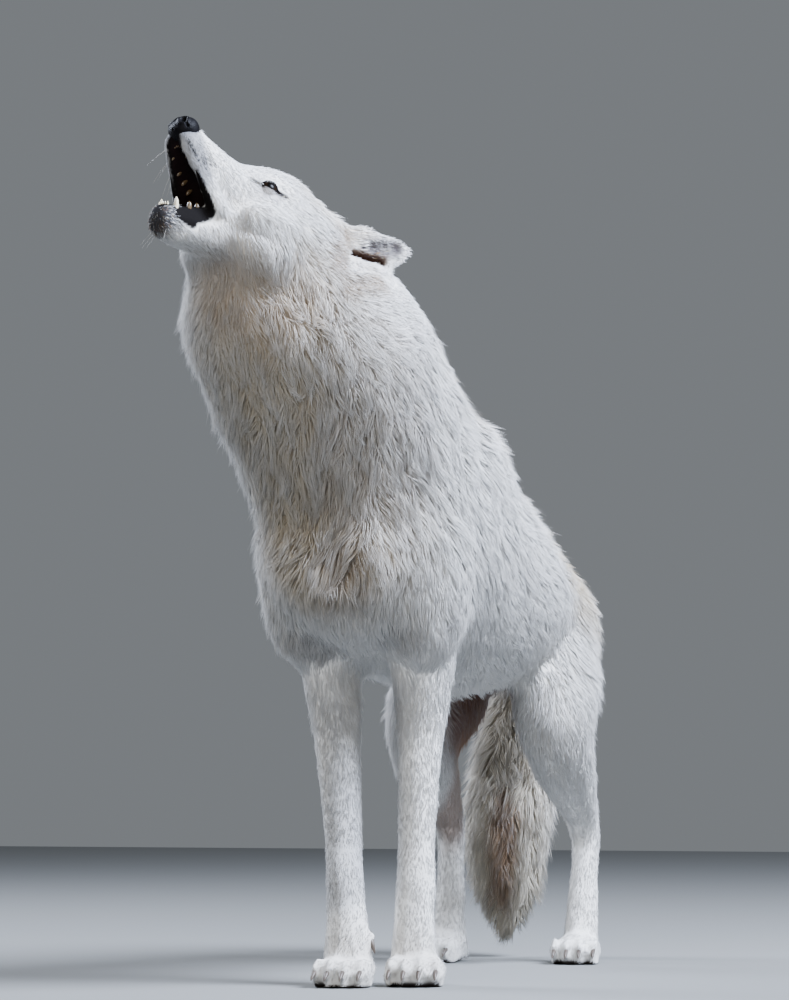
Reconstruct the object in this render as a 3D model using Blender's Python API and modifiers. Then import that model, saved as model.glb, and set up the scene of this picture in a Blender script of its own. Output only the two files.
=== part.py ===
"""A howling arctic wolf, life size, standing with its four paws on the floor.

Metres, +Z up. The wolf faces -Y, its left side is +X, and its head is raised and turned
to its right. Every surface is the outside of the coat. The body is modelled whole, from
overlapping masses that a voxel remesh fuses and smooths, and is then parted with thin cuts
into the pieces that a person would name.
"""

import math

import bmesh
import bpy
import numpy as np
from mathutils import Matrix, Vector

# Driving dimensions, out to the tips of the coat.
WITHERS_HEIGHT = 0.81
CROUP_HEIGHT = 0.615
CHEST_HALF_WIDTH = 0.153
HEAD_PITCH = math.radians(54)
HEAD_TURN = math.radians(25)
HEAD_PLACE = (-0.070, -0.20, 0.979)
GAPE = math.radians(51)
EYE_RADIUS = 0.0115
EYE_PLACE = (0.0432, -0.0055, 0.0543)
EAR_LENGTH = 0.088
NOSE_RADII = (0.0185, 0.0160, 0.0155)
CLAW_LENGTH = 0.018

# How the form is meshed and parted.
VOXEL = 0.0034
BODY_SMOOTHING = 60
FACE_SMOOTHING = 4
FORM_TRIANGLES = 3500
CUT = 0.0006
GAP = 0.0003
RING_SIDES = 40


class Axes:
    """A place with its own left, up and forward directions."""

    def __init__(self, origin, left, up, forward):
        self.origin = Vector(origin)
        self.left = Vector(left).normalized()
        self.up = Vector(up).normalized()
        self.forward = Vector(forward).normalized()

    def at(self, left, up, forward):
        return self.origin + self.direction(left, up, forward)

    def direction(self, left, up, forward):
        return self.left * left + self.up * up + self.forward * forward

    def tipped(self, angle, pivot):
        """The same axes swung nose-down by angle, with their origin moved to pivot."""
        swing = Matrix.Rotation(angle, 3, self.left)
        return Axes(pivot, self.left, swing @ self.up, swing @ self.forward)

    def matrix(self, centre, radii):
        """Stretches a unit ball to radii along left, up and forward, at centre."""
        columns = [axis * r for axis, r in zip((self.left, self.up, self.forward), radii)]
        placed = Matrix(columns).transposed().to_4x4()
        placed.translation = centre
        return placed


def facing(origin, forward, left):
    """Axes at origin that look along forward, with their left as near left as can be."""
    forward = Vector(forward).normalized()
    left = Vector(left)
    left = (left - forward * left.dot(forward)).normalized()
    return Axes(origin, left, forward.cross(left), forward)


def raised_head():
    level = math.cos(HEAD_PITCH)
    forward = (-level * math.sin(HEAD_TURN), -level * math.cos(HEAD_TURN), math.sin(HEAD_PITCH))
    return facing(HEAD_PLACE, forward, (math.cos(HEAD_TURN), -math.sin(HEAD_TURN), 0))


BODY = Axes((0, 0, 0), (1, 0, 0), (0, 0, 1), (0, -1, 0))
HEAD = raised_head()
JAW = HEAD.tipped(GAPE, HEAD.at(0, -0.088, 0.080))


# Shapes: each adds one closed form to a bmesh.


def eased(rows, steps):
    """Catmull-Rom rows between the given ones, so that a few stations make an even form."""
    rows = np.array(rows, float)
    padded = np.vstack([2 * rows[0] - rows[1], rows, 2 * rows[-1] - rows[-2]])
    made = []
    for i in range(len(rows) - 1):
        before, start, end, after = padded[i : i + 4]
        for t in np.arange(steps) / steps:
            made.append(
                0.5 * (2 * start + (end - before) * t)
                + 0.5 * (2 * before - 5 * start + 4 * end - after) * t**2
                + 0.5 * (3 * start - before - 3 * end + after) * t**3
            )
    return np.array([*made, rows[-1]])


def loft(bm, stations, side, steps=4, sides=RING_SIDES):
    """A closed form along a row of stations: (centre, half width, reach over, reach under).

    Width lies along side, and over lies towards the cross product of side and the way the
    row runs: up on a form that runs to the rear, rearward on a leg that runs down."""
    rows = eased([(*centre, *sizes) for centre, *sizes in stations], steps)
    tangents = np.gradient(rows[:, :3], axis=0)
    rings = []
    for row, tangent in zip(rows, tangents):
        along = Vector(tangent).normalized()
        across = (side - along * side.dot(along)).normalized()
        rise = across.cross(along)
        width, over, under = np.maximum(row[3:], 0.0004)
        ring = []
        for k in range(sides):
            angle = 2 * math.pi * k / sides
            reach = over if math.sin(angle) > 0 else under
            offset = across * width * math.cos(angle) + rise * reach * math.sin(angle)
            ring.append(bm.verts.new(Vector(row[:3]) + offset))
        rings.append(ring)
    for ring, following in zip(rings, rings[1:]):
        for k in range(sides):
            bm.faces.new((ring[k], ring[k - 1], following[k - 1], following[k]))
    bm.faces.new(rings[0])
    bm.faces.new(reversed(rings[-1]))


def ball(bm, axes, centre, radii, segments=24):
    bmesh.ops.create_uvsphere(
        bm,
        u_segments=segments,
        v_segments=segments // 2,
        radius=1,
        matrix=axes.matrix(Vector(centre), radii),
    )


def profile_loft(bm, axes, profile, **counts):
    """A form along axes' forward line from rows of (forward, top, bottom, half width)."""
    stations = []
    for forward, top, bottom, width in profile:
        reach = (top - bottom) / 2
        stations.append((axes.at(0, (top + bottom) / 2, forward), width, reach, reach))
    loft(bm, stations, axes.left, **counts)


def box(bm, axes, centre, sizes):
    half = [size / 2 for size in sizes]
    bmesh.ops.create_cube(bm, size=2, matrix=axes.matrix(Vector(centre), half))


# The masses of the body.


def add_trunk(bm):
    """Chest, belly and croup: a barrel that slopes down from the withers to the croup."""
    slope = (WITHERS_HEIGHT - CROUP_HEIGHT) / 0.58
    w = CHEST_HALF_WIDTH

    def section(y, half_width, top_drop, depth):
        """A section whose top lies top_drop below the straight line of the back."""
        top = WITHERS_HEIGHT - slope * (y - 0.06) - top_drop
        return (0, y, top - depth / 2), half_width, depth / 2, depth / 2

    loft(
        bm,
        [
            section(-0.170, 0.30 * w, 0.23, 0.12),
            section(-0.135, 0.66 * w, 0.17, 0.24),
            section(-0.060, 0.92 * w, 0.09, 0.33),
            section(0.04, 1.00 * w, 0.02, 0.375),
            section(0.16, 1.04 * w, 0.006, 0.376),
            section(0.30, 1.02 * w, 0.006, 0.346),
            section(0.43, 0.92 * w, 0.004, 0.294),
            section(0.55, 0.82 * w, 0.0, 0.240),
            section(0.64, 0.70 * w, 0.0, 0.215),
            section(0.70, 0.50 * w, 0.015, 0.165),
            section(0.74, 0.22 * w, 0.045, 0.09),
        ],
        BODY.left,
    )
    ball(bm, BODY, (-0.010, -0.078, 0.655), (0.112, 0.092, 0.105))
    for side in (1, -1):
        ball(bm, BODY, (side * 0.080, -0.01, 0.560), (0.070, 0.150, 0.105))
        ball(bm, BODY, (side * 0.073, 0.13, 0.655), (0.084, 0.120, 0.148))
        ball(bm, BODY, (side * 0.066, 0.60, 0.480), (0.070, 0.110, 0.125))


def add_neck(bm):
    """The neck, thick with its ruff, from between the shoulders to the back of the skull."""
    loft(
        bm,
        [
            ((0.0, 0.09, 0.56), 0.125, 0.17, 0.12),
            ((-0.004, 0.035, 0.64), 0.150, 0.192, 0.15),
            ((-0.010, -0.02, 0.71), 0.158, 0.180, 0.168),
            ((-0.024, -0.068, 0.775), 0.159, 0.170, 0.168),
            ((-0.048, -0.116, 0.835), 0.154, 0.160, 0.146),
            ((-0.072, -0.154, 0.885), 0.134, 0.145, 0.116),
            ((-0.079, -0.180, 0.935), 0.108, 0.116, 0.090),
            ((-0.080, -0.194, 0.975), 0.075, 0.078, 0.065),
            ((-0.078, -0.200, 1.000), 0.036, 0.038, 0.035),
        ],
        BODY.left,
    )


def add_upper_head(bm):
    """Skull, cheeks and upper muzzle, from the nose back to the nape."""
    profile_loft(
        bm,
        HEAD,
        [
            (0.178, -0.035, -0.062, 0.014),
            (0.171, -0.030, -0.070, 0.0205),
            (0.150, -0.026, -0.078, 0.0260),
            (0.120, -0.014, -0.080, 0.032),
            (0.086, 0.004, -0.084, 0.039),
            (0.060, 0.029, -0.092, 0.048),
            (0.035, 0.055, -0.100, 0.064),
            (0.005, 0.078, -0.106, 0.081),
            (-0.030, 0.089, -0.110, 0.091),
            (-0.070, 0.096, -0.105, 0.091),
            (-0.110, 0.080, -0.080, 0.066),
        ],
    )
    for side in (1, -1):
        ball(bm, HEAD, HEAD.at(side * 0.046, -0.050, -0.004), (0.045, 0.058, 0.066))
        ball(bm, HEAD, HEAD.at(side * 0.0150, -0.063, 0.144), (0.0155, 0.018, 0.034))
        ball(bm, HEAD, HEAD.at(side * 0.024, 0.032, 0.038), (0.020, 0.016, 0.026))
        add_upper_lip(bm, side)


def add_upper_lip(bm, side):
    """The soft edge that hangs from the upper muzzle, back to the corner of the mouth."""
    loft(
        bm,
        [
            (HEAD.at(side * 0.0100, -0.068, 0.164), 0.0085, 0.012, 0.011),
            (HEAD.at(side * 0.0190, -0.072, 0.145), 0.0085, 0.014, 0.012),
            (HEAD.at(side * 0.0240, -0.075, 0.124), 0.0085, 0.015, 0.012),
            (HEAD.at(side * 0.0280, -0.080, 0.106), 0.0090, 0.016, 0.013),
            (HEAD.at(side * 0.0310, -0.084, 0.088), 0.0100, 0.017, 0.013),
            (HEAD.at(side * 0.0330, -0.090, 0.068), 0.0120, 0.018, 0.014),
        ],
        HEAD.left,
    )


def add_lower_jaw(bm):
    profile_loft(
        bm,
        JAW,
        [
            (0.073, -0.010, -0.032, 0.012),
            (0.066, -0.001, -0.044, 0.0205),
            (0.048, 0.002, -0.052, 0.0255),
            (0.025, 0.002, -0.058, 0.031),
            (0.000, 0.004, -0.064, 0.038),
            (-0.045, 0.020, -0.072, 0.056),
        ],
    )


def ear_axes(side):
    """Folded back, with the hollow of the ear turned to the side and down."""
    lean = HEAD.direction(side * 0.50, 0.74, -0.45)
    return facing(HEAD.at(side * 0.050, 0.062, -0.080), lean, HEAD.direction(0.25 * side, -0.75, -0.62))


def add_ear(bm, side, start=-0.25, grow=0.0):
    """One ear, from the share start of its length on, made bigger by grow all round."""
    axes = ear_axes(side)
    stations = []
    for share, width, depth in (
        (-0.25, 0.042, 0.026),
        (0.00, 0.041, 0.022),
        (0.30, 0.037, 0.016),
        (0.60, 0.030, 0.012),
        (0.85, 0.019, 0.009),
        (1.00, 0.007, 0.005),
    ):
        if share >= start:
            tip = grow if share == 1 else 0
            centre = axes.at(0, 0, EAR_LENGTH * share + tip)
            stations.append((centre, width + grow, depth + grow, depth + grow))
    loft(bm, stations, axes.left, steps=2, sides=20)


def add_ears(bm):
    for side in (1, -1):
        add_ear(bm, side)


def paw_axes(side, foot, turn):
    return facing((*foot, 0), (math.sin(side * turn), -math.cos(turn), 0), BODY.left)


def toe_places(half_width):
    """(left, forward) of each of the four toes."""
    spreads = [(k - 1.5) / 1.5 for k in range(4)]
    return [(0.72 * spread * half_width, 0.036 - 0.014 * abs(spread)) for spread in spreads]


def add_paw(bm, axes, half_width):
    """Four toes side by side in front of the main pad."""
    ball(bm, axes, axes.at(0, 0.022, -0.010), (half_width * 0.82, 0.026, 0.042))
    for left, forward in toe_places(half_width):
        ball(bm, axes, axes.at(left, 0.018, forward), (half_width * 0.285, 0.022, 0.031))


def dewclaw_axes(side, axes):
    """The small first toe, on the inner side above a forepaw."""
    return facing(axes.at(-side * 0.027, 0.060, -0.016), axes.direction(-side * 0.35, -0.8, 0.5), axes.left)


def add_claws(bm, axes, half_width, dewclaw_side):
    roots = [
        facing(axes.at(left, 0.021, forward + 0.020), axes.direction(0.10 * left / half_width, -0.28, 0.95), axes.left)
        for left, forward in toe_places(half_width)
    ]
    if dewclaw_side:
        roots.append(dewclaw_axes(dewclaw_side, axes))
    for root in roots:
        add_fang(bm, root, CLAW_LENGTH, 0.0034)


def add_fang(bm, axes, length, radius):
    """A slender curved cone from axes' origin forward, bent down at its tip."""
    loft(
        bm,
        [
            (axes.at(0, 0, -0.65 * length), radius, radius, radius),
            (axes.at(0, 0, 0.20 * length), radius, radius, radius),
            (axes.at(0, -0.06 * length, 0.65 * length), 0.62 * radius, 0.62 * radius, 0.62 * radius),
            (axes.at(0, -0.18 * length, length), 0.12 * radius, 0.12 * radius, 0.12 * radius),
        ],
        axes.left,
        steps=1,
        sides=5,
    )


def add_foreleg(bm, side, elbow, foot, paw, half_width):
    """Forearm, wrist, pastern and paw, down to just under the floor."""
    top, low = Vector(elbow), Vector((*foot, 0))

    def station(share, z, width, rear, front):
        centre = top.lerp(low, share)
        return (centre.x, centre.y, z), width, rear, front

    loft(
        bm,
        [
            station(-0.35, 0.60, 0.056, 0.085, 0.165),
            station(-0.15, 0.52, 0.052, 0.080, 0.135),
            station(0.0, 0.44, 0.045, 0.066, 0.092),
            station(0.14, 0.385, 0.039, 0.052, 0.060),
            station(0.28, 0.335, 0.0345, 0.043, 0.041),
            station(0.55, 0.25, 0.0290, 0.034, 0.031),
            station(0.75, 0.175, 0.0275, 0.030, 0.028),
            station(0.85, 0.140, 0.0300, 0.034, 0.031),
            station(0.93, 0.100, 0.0275, 0.028, 0.029),
            station(1.0, 0.055, 0.030, 0.030, 0.033),
            station(1.0, 0.015, 0.034, 0.034, 0.038),
        ],
        BODY.left,
    )
    add_paw(bm, paw, half_width)
    ball(bm, paw, dewclaw_axes(side, paw).at(0, 0, 0), (0.009, 0.014, 0.011))


def add_hind_leg(bm, side, knee, hock, paw, half_width):
    hip = Vector((side * 0.071, 0.60, 0.47))
    knee, hock = Vector(knee), Vector(hock)
    sole = paw.at(0, 0, -0.020)
    loft(
        bm,
        [
            (hip, 0.068, 0.10, 0.10),
            (hip.lerp(knee, 0.5), 0.068, 0.105, 0.085),
            (hip.lerp(knee, 0.85), 0.059, 0.088, 0.062),
            (knee.lerp(hock, 0.25), 0.050, 0.069, 0.052),
            (knee.lerp(hock, 0.6), 0.036, 0.046, 0.040),
            (knee.lerp(hock, 0.85), 0.0265, 0.033, 0.030),
            (hock + Vector((0, -0.004, -0.012)), 0.0245, 0.028, 0.030),
            (hock.lerp(sole, 0.4), 0.0235, 0.024, 0.026),
            (hock.lerp(sole, 0.75), 0.026, 0.025, 0.029),
            (hock.lerp(sole, 0.95), 0.031, 0.031, 0.035),
        ],
        BODY.left,
    )
    add_paw(bm, paw, half_width)


def add_tail(bm):
    """The brush hangs from the croup between the hind legs and leans to the right."""
    loft(
        bm,
        [
            ((0.0, 0.66, 0.545), 0.040, 0.040, 0.040),
            ((-0.002, 0.735, 0.520), 0.046, 0.046, 0.040),
            ((-0.018, 0.785, 0.455), 0.060, 0.056, 0.050),
            ((-0.040, 0.800, 0.36), 0.070, 0.066, 0.060),
            ((-0.056, 0.797, 0.26), 0.076, 0.072, 0.066),
            ((-0.063, 0.790, 0.17), 0.072, 0.068, 0.062),
            ((-0.064, 0.784, 0.10), 0.056, 0.052, 0.048),
            ((-0.063, 0.780, 0.050), 0.030, 0.028, 0.026),
            ((-0.062, 0.778, 0.030), 0.010, 0.010, 0.010),
        ],
        BODY.left,
    )


FORE_HALF_WIDTH, HIND_HALF_WIDTH = 0.042, 0.039
PAWS = {
    "forepaw_left": (paw_axes(1, (0.066, 0.006), math.radians(10)), FORE_HALF_WIDTH),
    "forepaw_right": (paw_axes(-1, (-0.014, -0.042), math.radians(-2)), FORE_HALF_WIDTH),
    "hindpaw_left": (paw_axes(1, (0.096, 0.630), math.radians(9)), HIND_HALF_WIDTH),
    "hindpaw_right": (paw_axes(-1, (-0.106, 0.610), math.radians(9)), HIND_HALF_WIDTH),
}


def add_legs(bm):
    add_foreleg(bm, 1, (0.060, 0.045, 0.44), (0.056, 0.020), *PAWS["forepaw_left"])
    add_foreleg(bm, -1, (-0.066, 0.040, 0.44), (-0.020, -0.028), *PAWS["forepaw_right"])
    add_hind_leg(bm, 1, (0.104, 0.485, 0.335), (0.090, 0.700, 0.195), *PAWS["hindpaw_left"])
    add_hind_leg(bm, -1, (-0.102, 0.475, 0.335), (-0.114, 0.680, 0.195), *PAWS["hindpaw_right"])


# Objects and the operations on them.


def new_collection(name, helper=False):
    collection = bpy.data.collections.new(name)
    collection.hide_render = helper
    bpy.context.scene.collection.children.link(collection)
    return collection


def solid(name, collection, *fillers):
    """An object whose mesh is what the fillers add to an empty bmesh."""
    bm = bmesh.new()
    for filler in fillers:
        filler(bm)
    bmesh.ops.recalc_face_normals(bm, faces=bm.faces)
    mesh = bpy.data.meshes.new(name)
    bm.to_mesh(mesh)
    bm.free()
    obj = bpy.data.objects.new(name, mesh)
    collection.objects.link(obj)
    return obj


def settle(obj):
    """Applies the object's modifiers."""
    graph = bpy.context.evaluated_depsgraph_get()
    mesh = bpy.data.meshes.new_from_object(obj.evaluated_get(graph))
    obj.modifiers.clear()
    obj.data = mesh
    mesh.name = obj.name


def boolean(obj, other, operation="DIFFERENCE"):
    modifier = obj.modifiers.new(other.name, "BOOLEAN")
    modifier.operation = operation
    modifier.solver = "EXACT"
    modifier.object = other
    settle(obj)


def copy_of(obj, name):
    twin = obj.copy()
    twin.data = obj.data.copy()
    twin.name = name
    obj.users_collection[0].objects.link(twin)
    return twin


def weigh(obj, name, weight_at):
    """A vertex group whose weights come from each vertex's place."""
    group = obj.vertex_groups.new(name=name)
    for vertex in obj.data.vertices:
        group.add([vertex.index], weight_at(vertex.co), "REPLACE")


def ramp(value, start, end):
    return min(max((value - start) / (end - start), 0), 1)


def face_share(place):
    """1 on the face and the ears, where small forms count, and 0 from the cheeks back."""
    face = ramp((place - HEAD.origin).dot(HEAD.forward), 0.02, 0.07)
    middles = [ear_axes(side).at(0, 0, 0.6 * EAR_LENGTH) for side in (1, -1)]
    ear = min((place - middle).length for middle in middles)
    return max(face, 1 - ramp(ear, 0.045, 0.075))


def paw_share(place):
    return 1 - ramp(place.z, 0.10, 0.14)


def fuse(form):
    remesh = form.modifiers.new("Fuse", "REMESH")
    remesh.mode = "VOXEL"
    remesh.voxel_size = VOXEL
    settle(form)
    weigh(form, "body", lambda place: 1 - max(face_share(place), paw_share(place)))
    for iterations, group in ((FACE_SMOOTHING, ""), (BODY_SMOOTHING, "body")):
        smooth = form.modifiers.new("Soften", "SMOOTH")
        smooth.factor = 0.5
        smooth.iterations = iterations
        smooth.vertex_group = group
    settle(form)


def mouth_filler(bm):
    """The room between the jaws, from a vault in the palate to a trough in the lower jaw.

    Each row is (palate forward, palate up, jaw forward, jaw up, half width)."""
    stations = []
    for palate, vault, floor, trough, width in (
        (0.040, -0.082, -0.040, 0.010, 0.012),
        (0.072, -0.070, -0.012, -0.010, 0.019),
        (0.108, -0.062, 0.020, -0.014, 0.0220),
        (0.143, -0.062, 0.047, -0.012, 0.0185),
        (0.166, -0.067, 0.062, -0.008, 0.0150),
        (0.205, -0.075, 0.110, 0.020, 0.0200),
    ):
        above, below = HEAD.at(0, vault, palate), JAW.at(0, trough, floor)
        reach = (above - below).length / 2
        stations.append(((above + below) / 2, width, reach, reach))
    loft(bm, stations, HEAD.left, sides=24)


def thin_out(form):
    """Fewer triangles, with more of them left on the face and the paws."""
    weigh(form, "plain", lambda place: 1 - max(0.50 * face_share(place), 0.15 * paw_share(place)))
    thin = form.modifiers.new("Thin", "DECIMATE")
    thin.ratio = FORM_TRIANGLES / sum(len(face.vertices) - 2 for face in form.data.polygons)
    thin.vertex_group = "plain"
    settle(form)


def part_ear(head, helpers, side, name):
    """The part of the head inside a slightly bigger ear becomes the ear."""
    inner = solid(name + "_region", helpers, lambda bm: add_ear(bm, side, 0.30, 0.004))
    outer = solid(name + "_room", helpers, lambda bm: add_ear(bm, side, 0.30, 0.004 + CUT))
    ear = copy_of(head, name)
    boolean(ear, inner, "INTERSECT")
    boolean(head, outer)
    return ear


def part(whole, helpers, name, centre, normal, left, across, along):
    """Cuts whole with a thin slab, and gives the piece on the side of normal the name."""
    axes = facing(centre, normal, left)
    sizes = (2 * across, 2 * along, CUT)
    slab = solid(name + "_cut", helpers, lambda bm: box(bm, axes, axes.origin, sizes))
    boolean(whole, slab)
    kept = whole.name
    bpy.ops.object.select_all(action="DESELECT")
    whole.select_set(True)
    bpy.context.view_layer.objects.active = whole
    bpy.ops.object.mode_set(mode="EDIT")
    bpy.ops.mesh.separate(type="LOOSE")
    bpy.ops.object.mode_set(mode="OBJECT")
    near, far = sorted(bpy.context.selected_objects, key=lambda piece: forwardness(piece, axes))
    near.name, far.name = "near", "far"
    near.name, far.name = kept, name
    return near, far


def forwardness(obj, axes):
    middle = sum((vertex.co for vertex in obj.data.vertices), Vector()) / len(obj.data.vertices)
    return (middle - axes.origin).dot(axes.forward)


def part_body(form, helpers):
    """Names every piece of the body: each cut parts the piece that it follows from."""
    x = BODY.left
    nape, headward = HEAD.at(0, 0.023, -0.108), HEAD.direction(0, 0.47, 0.88)
    body, head = part(form, helpers, "head", nape, headward, HEAD.left, 0.25, 0.29)
    cheek, jawward = HEAD.at(0, -0.106, -0.002), HEAD.direction(0, -1, 0.07)
    head, jaw = part(head, helpers, "lower_jaw", cheek, jawward, HEAD.left, 0.25, 0.107)
    body, neck = part(body, helpers, "neck", (0, -0.030, 0.70), (0, -0.63, 0.78), x, 0.30, 0.30)
    body, tail = part(body, helpers, "tail", (0, 0.752, 0.495), (0, 0.95, -0.30), x, 0.10, 0.11)
    for side, which in ((1, "left"), (-1, "right")):
        elbow, stifle = (side * 0.064, 0.035, 0.395), (side * 0.096, 0.54, 0.374)
        part_ear(head, helpers, side, "ear_" + which)
        body, leg = part(body, helpers, "foreleg_" + which, elbow, (0, -0.20, -0.98), x, 0.060, 0.13)
        part_paw(leg, helpers, "forepaw_" + which, 0.100)
        body, leg = part(body, helpers, "hindleg_" + which, stifle, (0, 0.15, -0.99), x, 0.078, 0.16)
        part_paw(leg, helpers, "hindpaw_" + which, 0.105)
    body, rump = part(body, helpers, "hindquarters", (0, 0.460, 0.53), (0, 0.966, -0.257), x, 0.25, 0.30)
    body, chest = part(body, helpers, "chest", (0, 0.140, 0.58), (0, -1, -0.05), x, 0.25, 0.30)
    body.name = "barrel"
    return head, jaw


def part_paw(leg, helpers, name, height):
    axes, half_width = PAWS[name]
    return part(leg, helpers, name, axes.at(0, height, 0), -axes.up, axes.left, 0.08, 0.20)


# What is added to the parted body.


def add_upper_teeth(bm):
    down = HEAD.direction(0, -1, -0.12)
    for side in (1, -1):
        add_fang(bm, facing(HEAD.at(side * 0.0130, -0.068, 0.150), down, HEAD.left), 0.016, 0.0036)
        for forward in (0.127, 0.113, 0.099):
            add_fang(bm, facing(HEAD.at(side * 0.0165, -0.074, forward), down, HEAD.left), 0.009, 0.0040)
        for k in range(3):
            left = side * (0.0016 + 0.0034 * k)
            add_fang(bm, facing(HEAD.at(left, -0.067, 0.163 - 0.0012 * k), down, HEAD.left), 0.009, 0.0015)


def add_lower_teeth(bm):
    up = JAW.direction(0, 1, -0.10)
    for side in (1, -1):
        add_fang(bm, facing(JAW.at(side * 0.0140, -0.007, 0.049), up, JAW.left), 0.015, 0.0034)
        for forward in (0.030, 0.017):
            add_fang(bm, facing(JAW.at(side * 0.0175, -0.003, forward), up, JAW.left), 0.009, 0.0040)
        for k in range(3):
            left = side * (0.0015 + 0.0032 * k)
            add_fang(bm, facing(JAW.at(left, -0.006, 0.0605 - 0.0012 * k), up, JAW.left), 0.007, 0.0014)


def add_tongue(bm, grow=0.0):
    rows = (
        (0.046, -0.006, -0.014, 0.006),
        (0.038, -0.003, -0.017, 0.0110),
        (0.015, -0.002, -0.019, 0.0130),
        (-0.012, -0.001, -0.018, 0.0125),
        (-0.020, -0.004, -0.014, 0.008),
    )
    ends = {0: grow, len(rows) - 1: -grow}
    profile = [
        (forward + ends.get(k, 0), top + grow, bottom - grow, width + grow)
        for k, (forward, top, bottom, width) in enumerate(rows)
    ]
    profile_loft(bm, JAW, profile, steps=2, sides=12)


def add_nose(bm, grow=0.0):
    ball(bm, HEAD, HEAD.at(0, -0.0445, 0.1735), [radius + grow for radius in NOSE_RADII], 16)


def add_nostrils(bm):
    for side in (1, -1):
        ball(bm, HEAD, HEAD.at(side * 0.0095, -0.0435, 0.1880), (0.0034, 0.0046, 0.0060), 10)


def add_eye(bm, side, grow=0.0):
    left, up, forward = EYE_PLACE
    ball(bm, HEAD, HEAD.at(side * left, up, forward), [EYE_RADIUS + grow] * 3, 14)


def add_face(wolf, helpers, head, jaw):
    """Nose, eyes, tongue and teeth, each in room cut for it with a gap all round."""
    nose = solid("nose", wolf, add_nose)
    boolean(nose, solid("nostrils", helpers, add_nostrils))
    boolean(head, solid("nose_room", helpers, lambda bm: add_nose(bm, GAP)))
    for side, which in ((1, "left"), (-1, "right")):
        solid("eye_" + which, wolf, lambda bm, side=side: add_eye(bm, side))
        socket = solid("socket_" + which, helpers, lambda bm, side=side: add_eye(bm, side, GAP))
        boolean(head, socket)
    solid("tongue", wolf, add_tongue)
    tongue_room = solid("tongue_room", helpers, lambda bm: add_tongue(bm, GAP))
    for piece, filler in ((head, add_upper_teeth), (jaw, add_lower_teeth)):
        boolean(piece, solid(piece.name + "_teeth", helpers, filler), "UNION")
        boolean(piece, tongue_room)


def add_all_claws(helpers):
    for name, (axes, half_width) in PAWS.items():
        dewclaw_side = {"forepaw_left": 1, "forepaw_right": -1}.get(name, 0)
        claws = solid(
            name + "_claws",
            helpers,
            lambda bm, a=axes, w=half_width, d=dewclaw_side: add_claws(bm, a, w, d),
        )
        boolean(bpy.data.objects[name], claws, "UNION")


def centre_on_floor(pieces):
    """Moves the meshes so that the origin is the middle of the underside of their box."""
    points = np.array([vertex.co for piece in pieces for vertex in piece.data.vertices])
    low, high = points.min(axis=0), points.max(axis=0)
    shift = Vector((-(low[0] + high[0]) / 2, -(low[1] + high[1]) / 2, -low[2]))
    for piece in pieces:
        piece.data.transform(Matrix.Translation(shift))


def material(name, colour, roughness):
    made = bpy.data.materials.new(name)
    made.use_nodes = True
    shader = made.node_tree.nodes["Principled BSDF"]
    shader.inputs["Base Color"].default_value = (*colour, 1)
    shader.inputs["Roughness"].default_value = roughness
    return made


def give_materials(pieces):
    finishes = {
        "nose": ((0.012, 0.011, 0.012), 0.45),
        "eye": ((0.10, 0.045, 0.012), 0.08),
        "tongue": ((0.45, 0.13, 0.13), 0.40),
        "coat": ((0.80, 0.76, 0.68), 0.90),
    }
    for piece in pieces:
        kind = next((kind for kind in finishes if piece.name.startswith(kind)), "coat")
        piece.data.materials.clear()
        piece.data.materials.append(material(piece.name, *finishes[kind]))


def main():
    for obj in list(bpy.data.objects):
        bpy.data.objects.remove(obj)
    wolf = new_collection("howling_arctic_wolf")
    helpers = new_collection("carvers", helper=True)
    masses = (add_trunk, add_neck, add_upper_head, add_lower_jaw, add_ears, add_legs, add_tail)
    form = solid("form", wolf, *masses)
    fuse(form)
    boolean(form, solid("mouth", helpers, mouth_filler))
    thin_out(form)
    boolean(form, solid("below_floor", helpers, lambda bm: box(bm, BODY, (0, 0.3, -0.1), (2, 0.2, 3))))
    head, jaw = part_body(form, helpers)
    add_face(wolf, helpers, head, jaw)
    add_all_claws(helpers)
    centre_on_floor(wolf.objects)
    give_materials(wolf.objects)


main()
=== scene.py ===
# %% [markdown]
# # A howling arctic wolf
# The solids of the model are the form of the animal out to the tips of its coat. This lesson
# dresses them: a skin goes inside, and tens of thousands of tufts of fur stand on it. The first
# cell loads the solids as a fixed frame, so that every piece finds its place from them.
# %% Load the frame
import math
import time

import bpy
import numpy as np
from mathutils import Matrix, Vector
from mathutils.kdtree import KDTree


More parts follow.
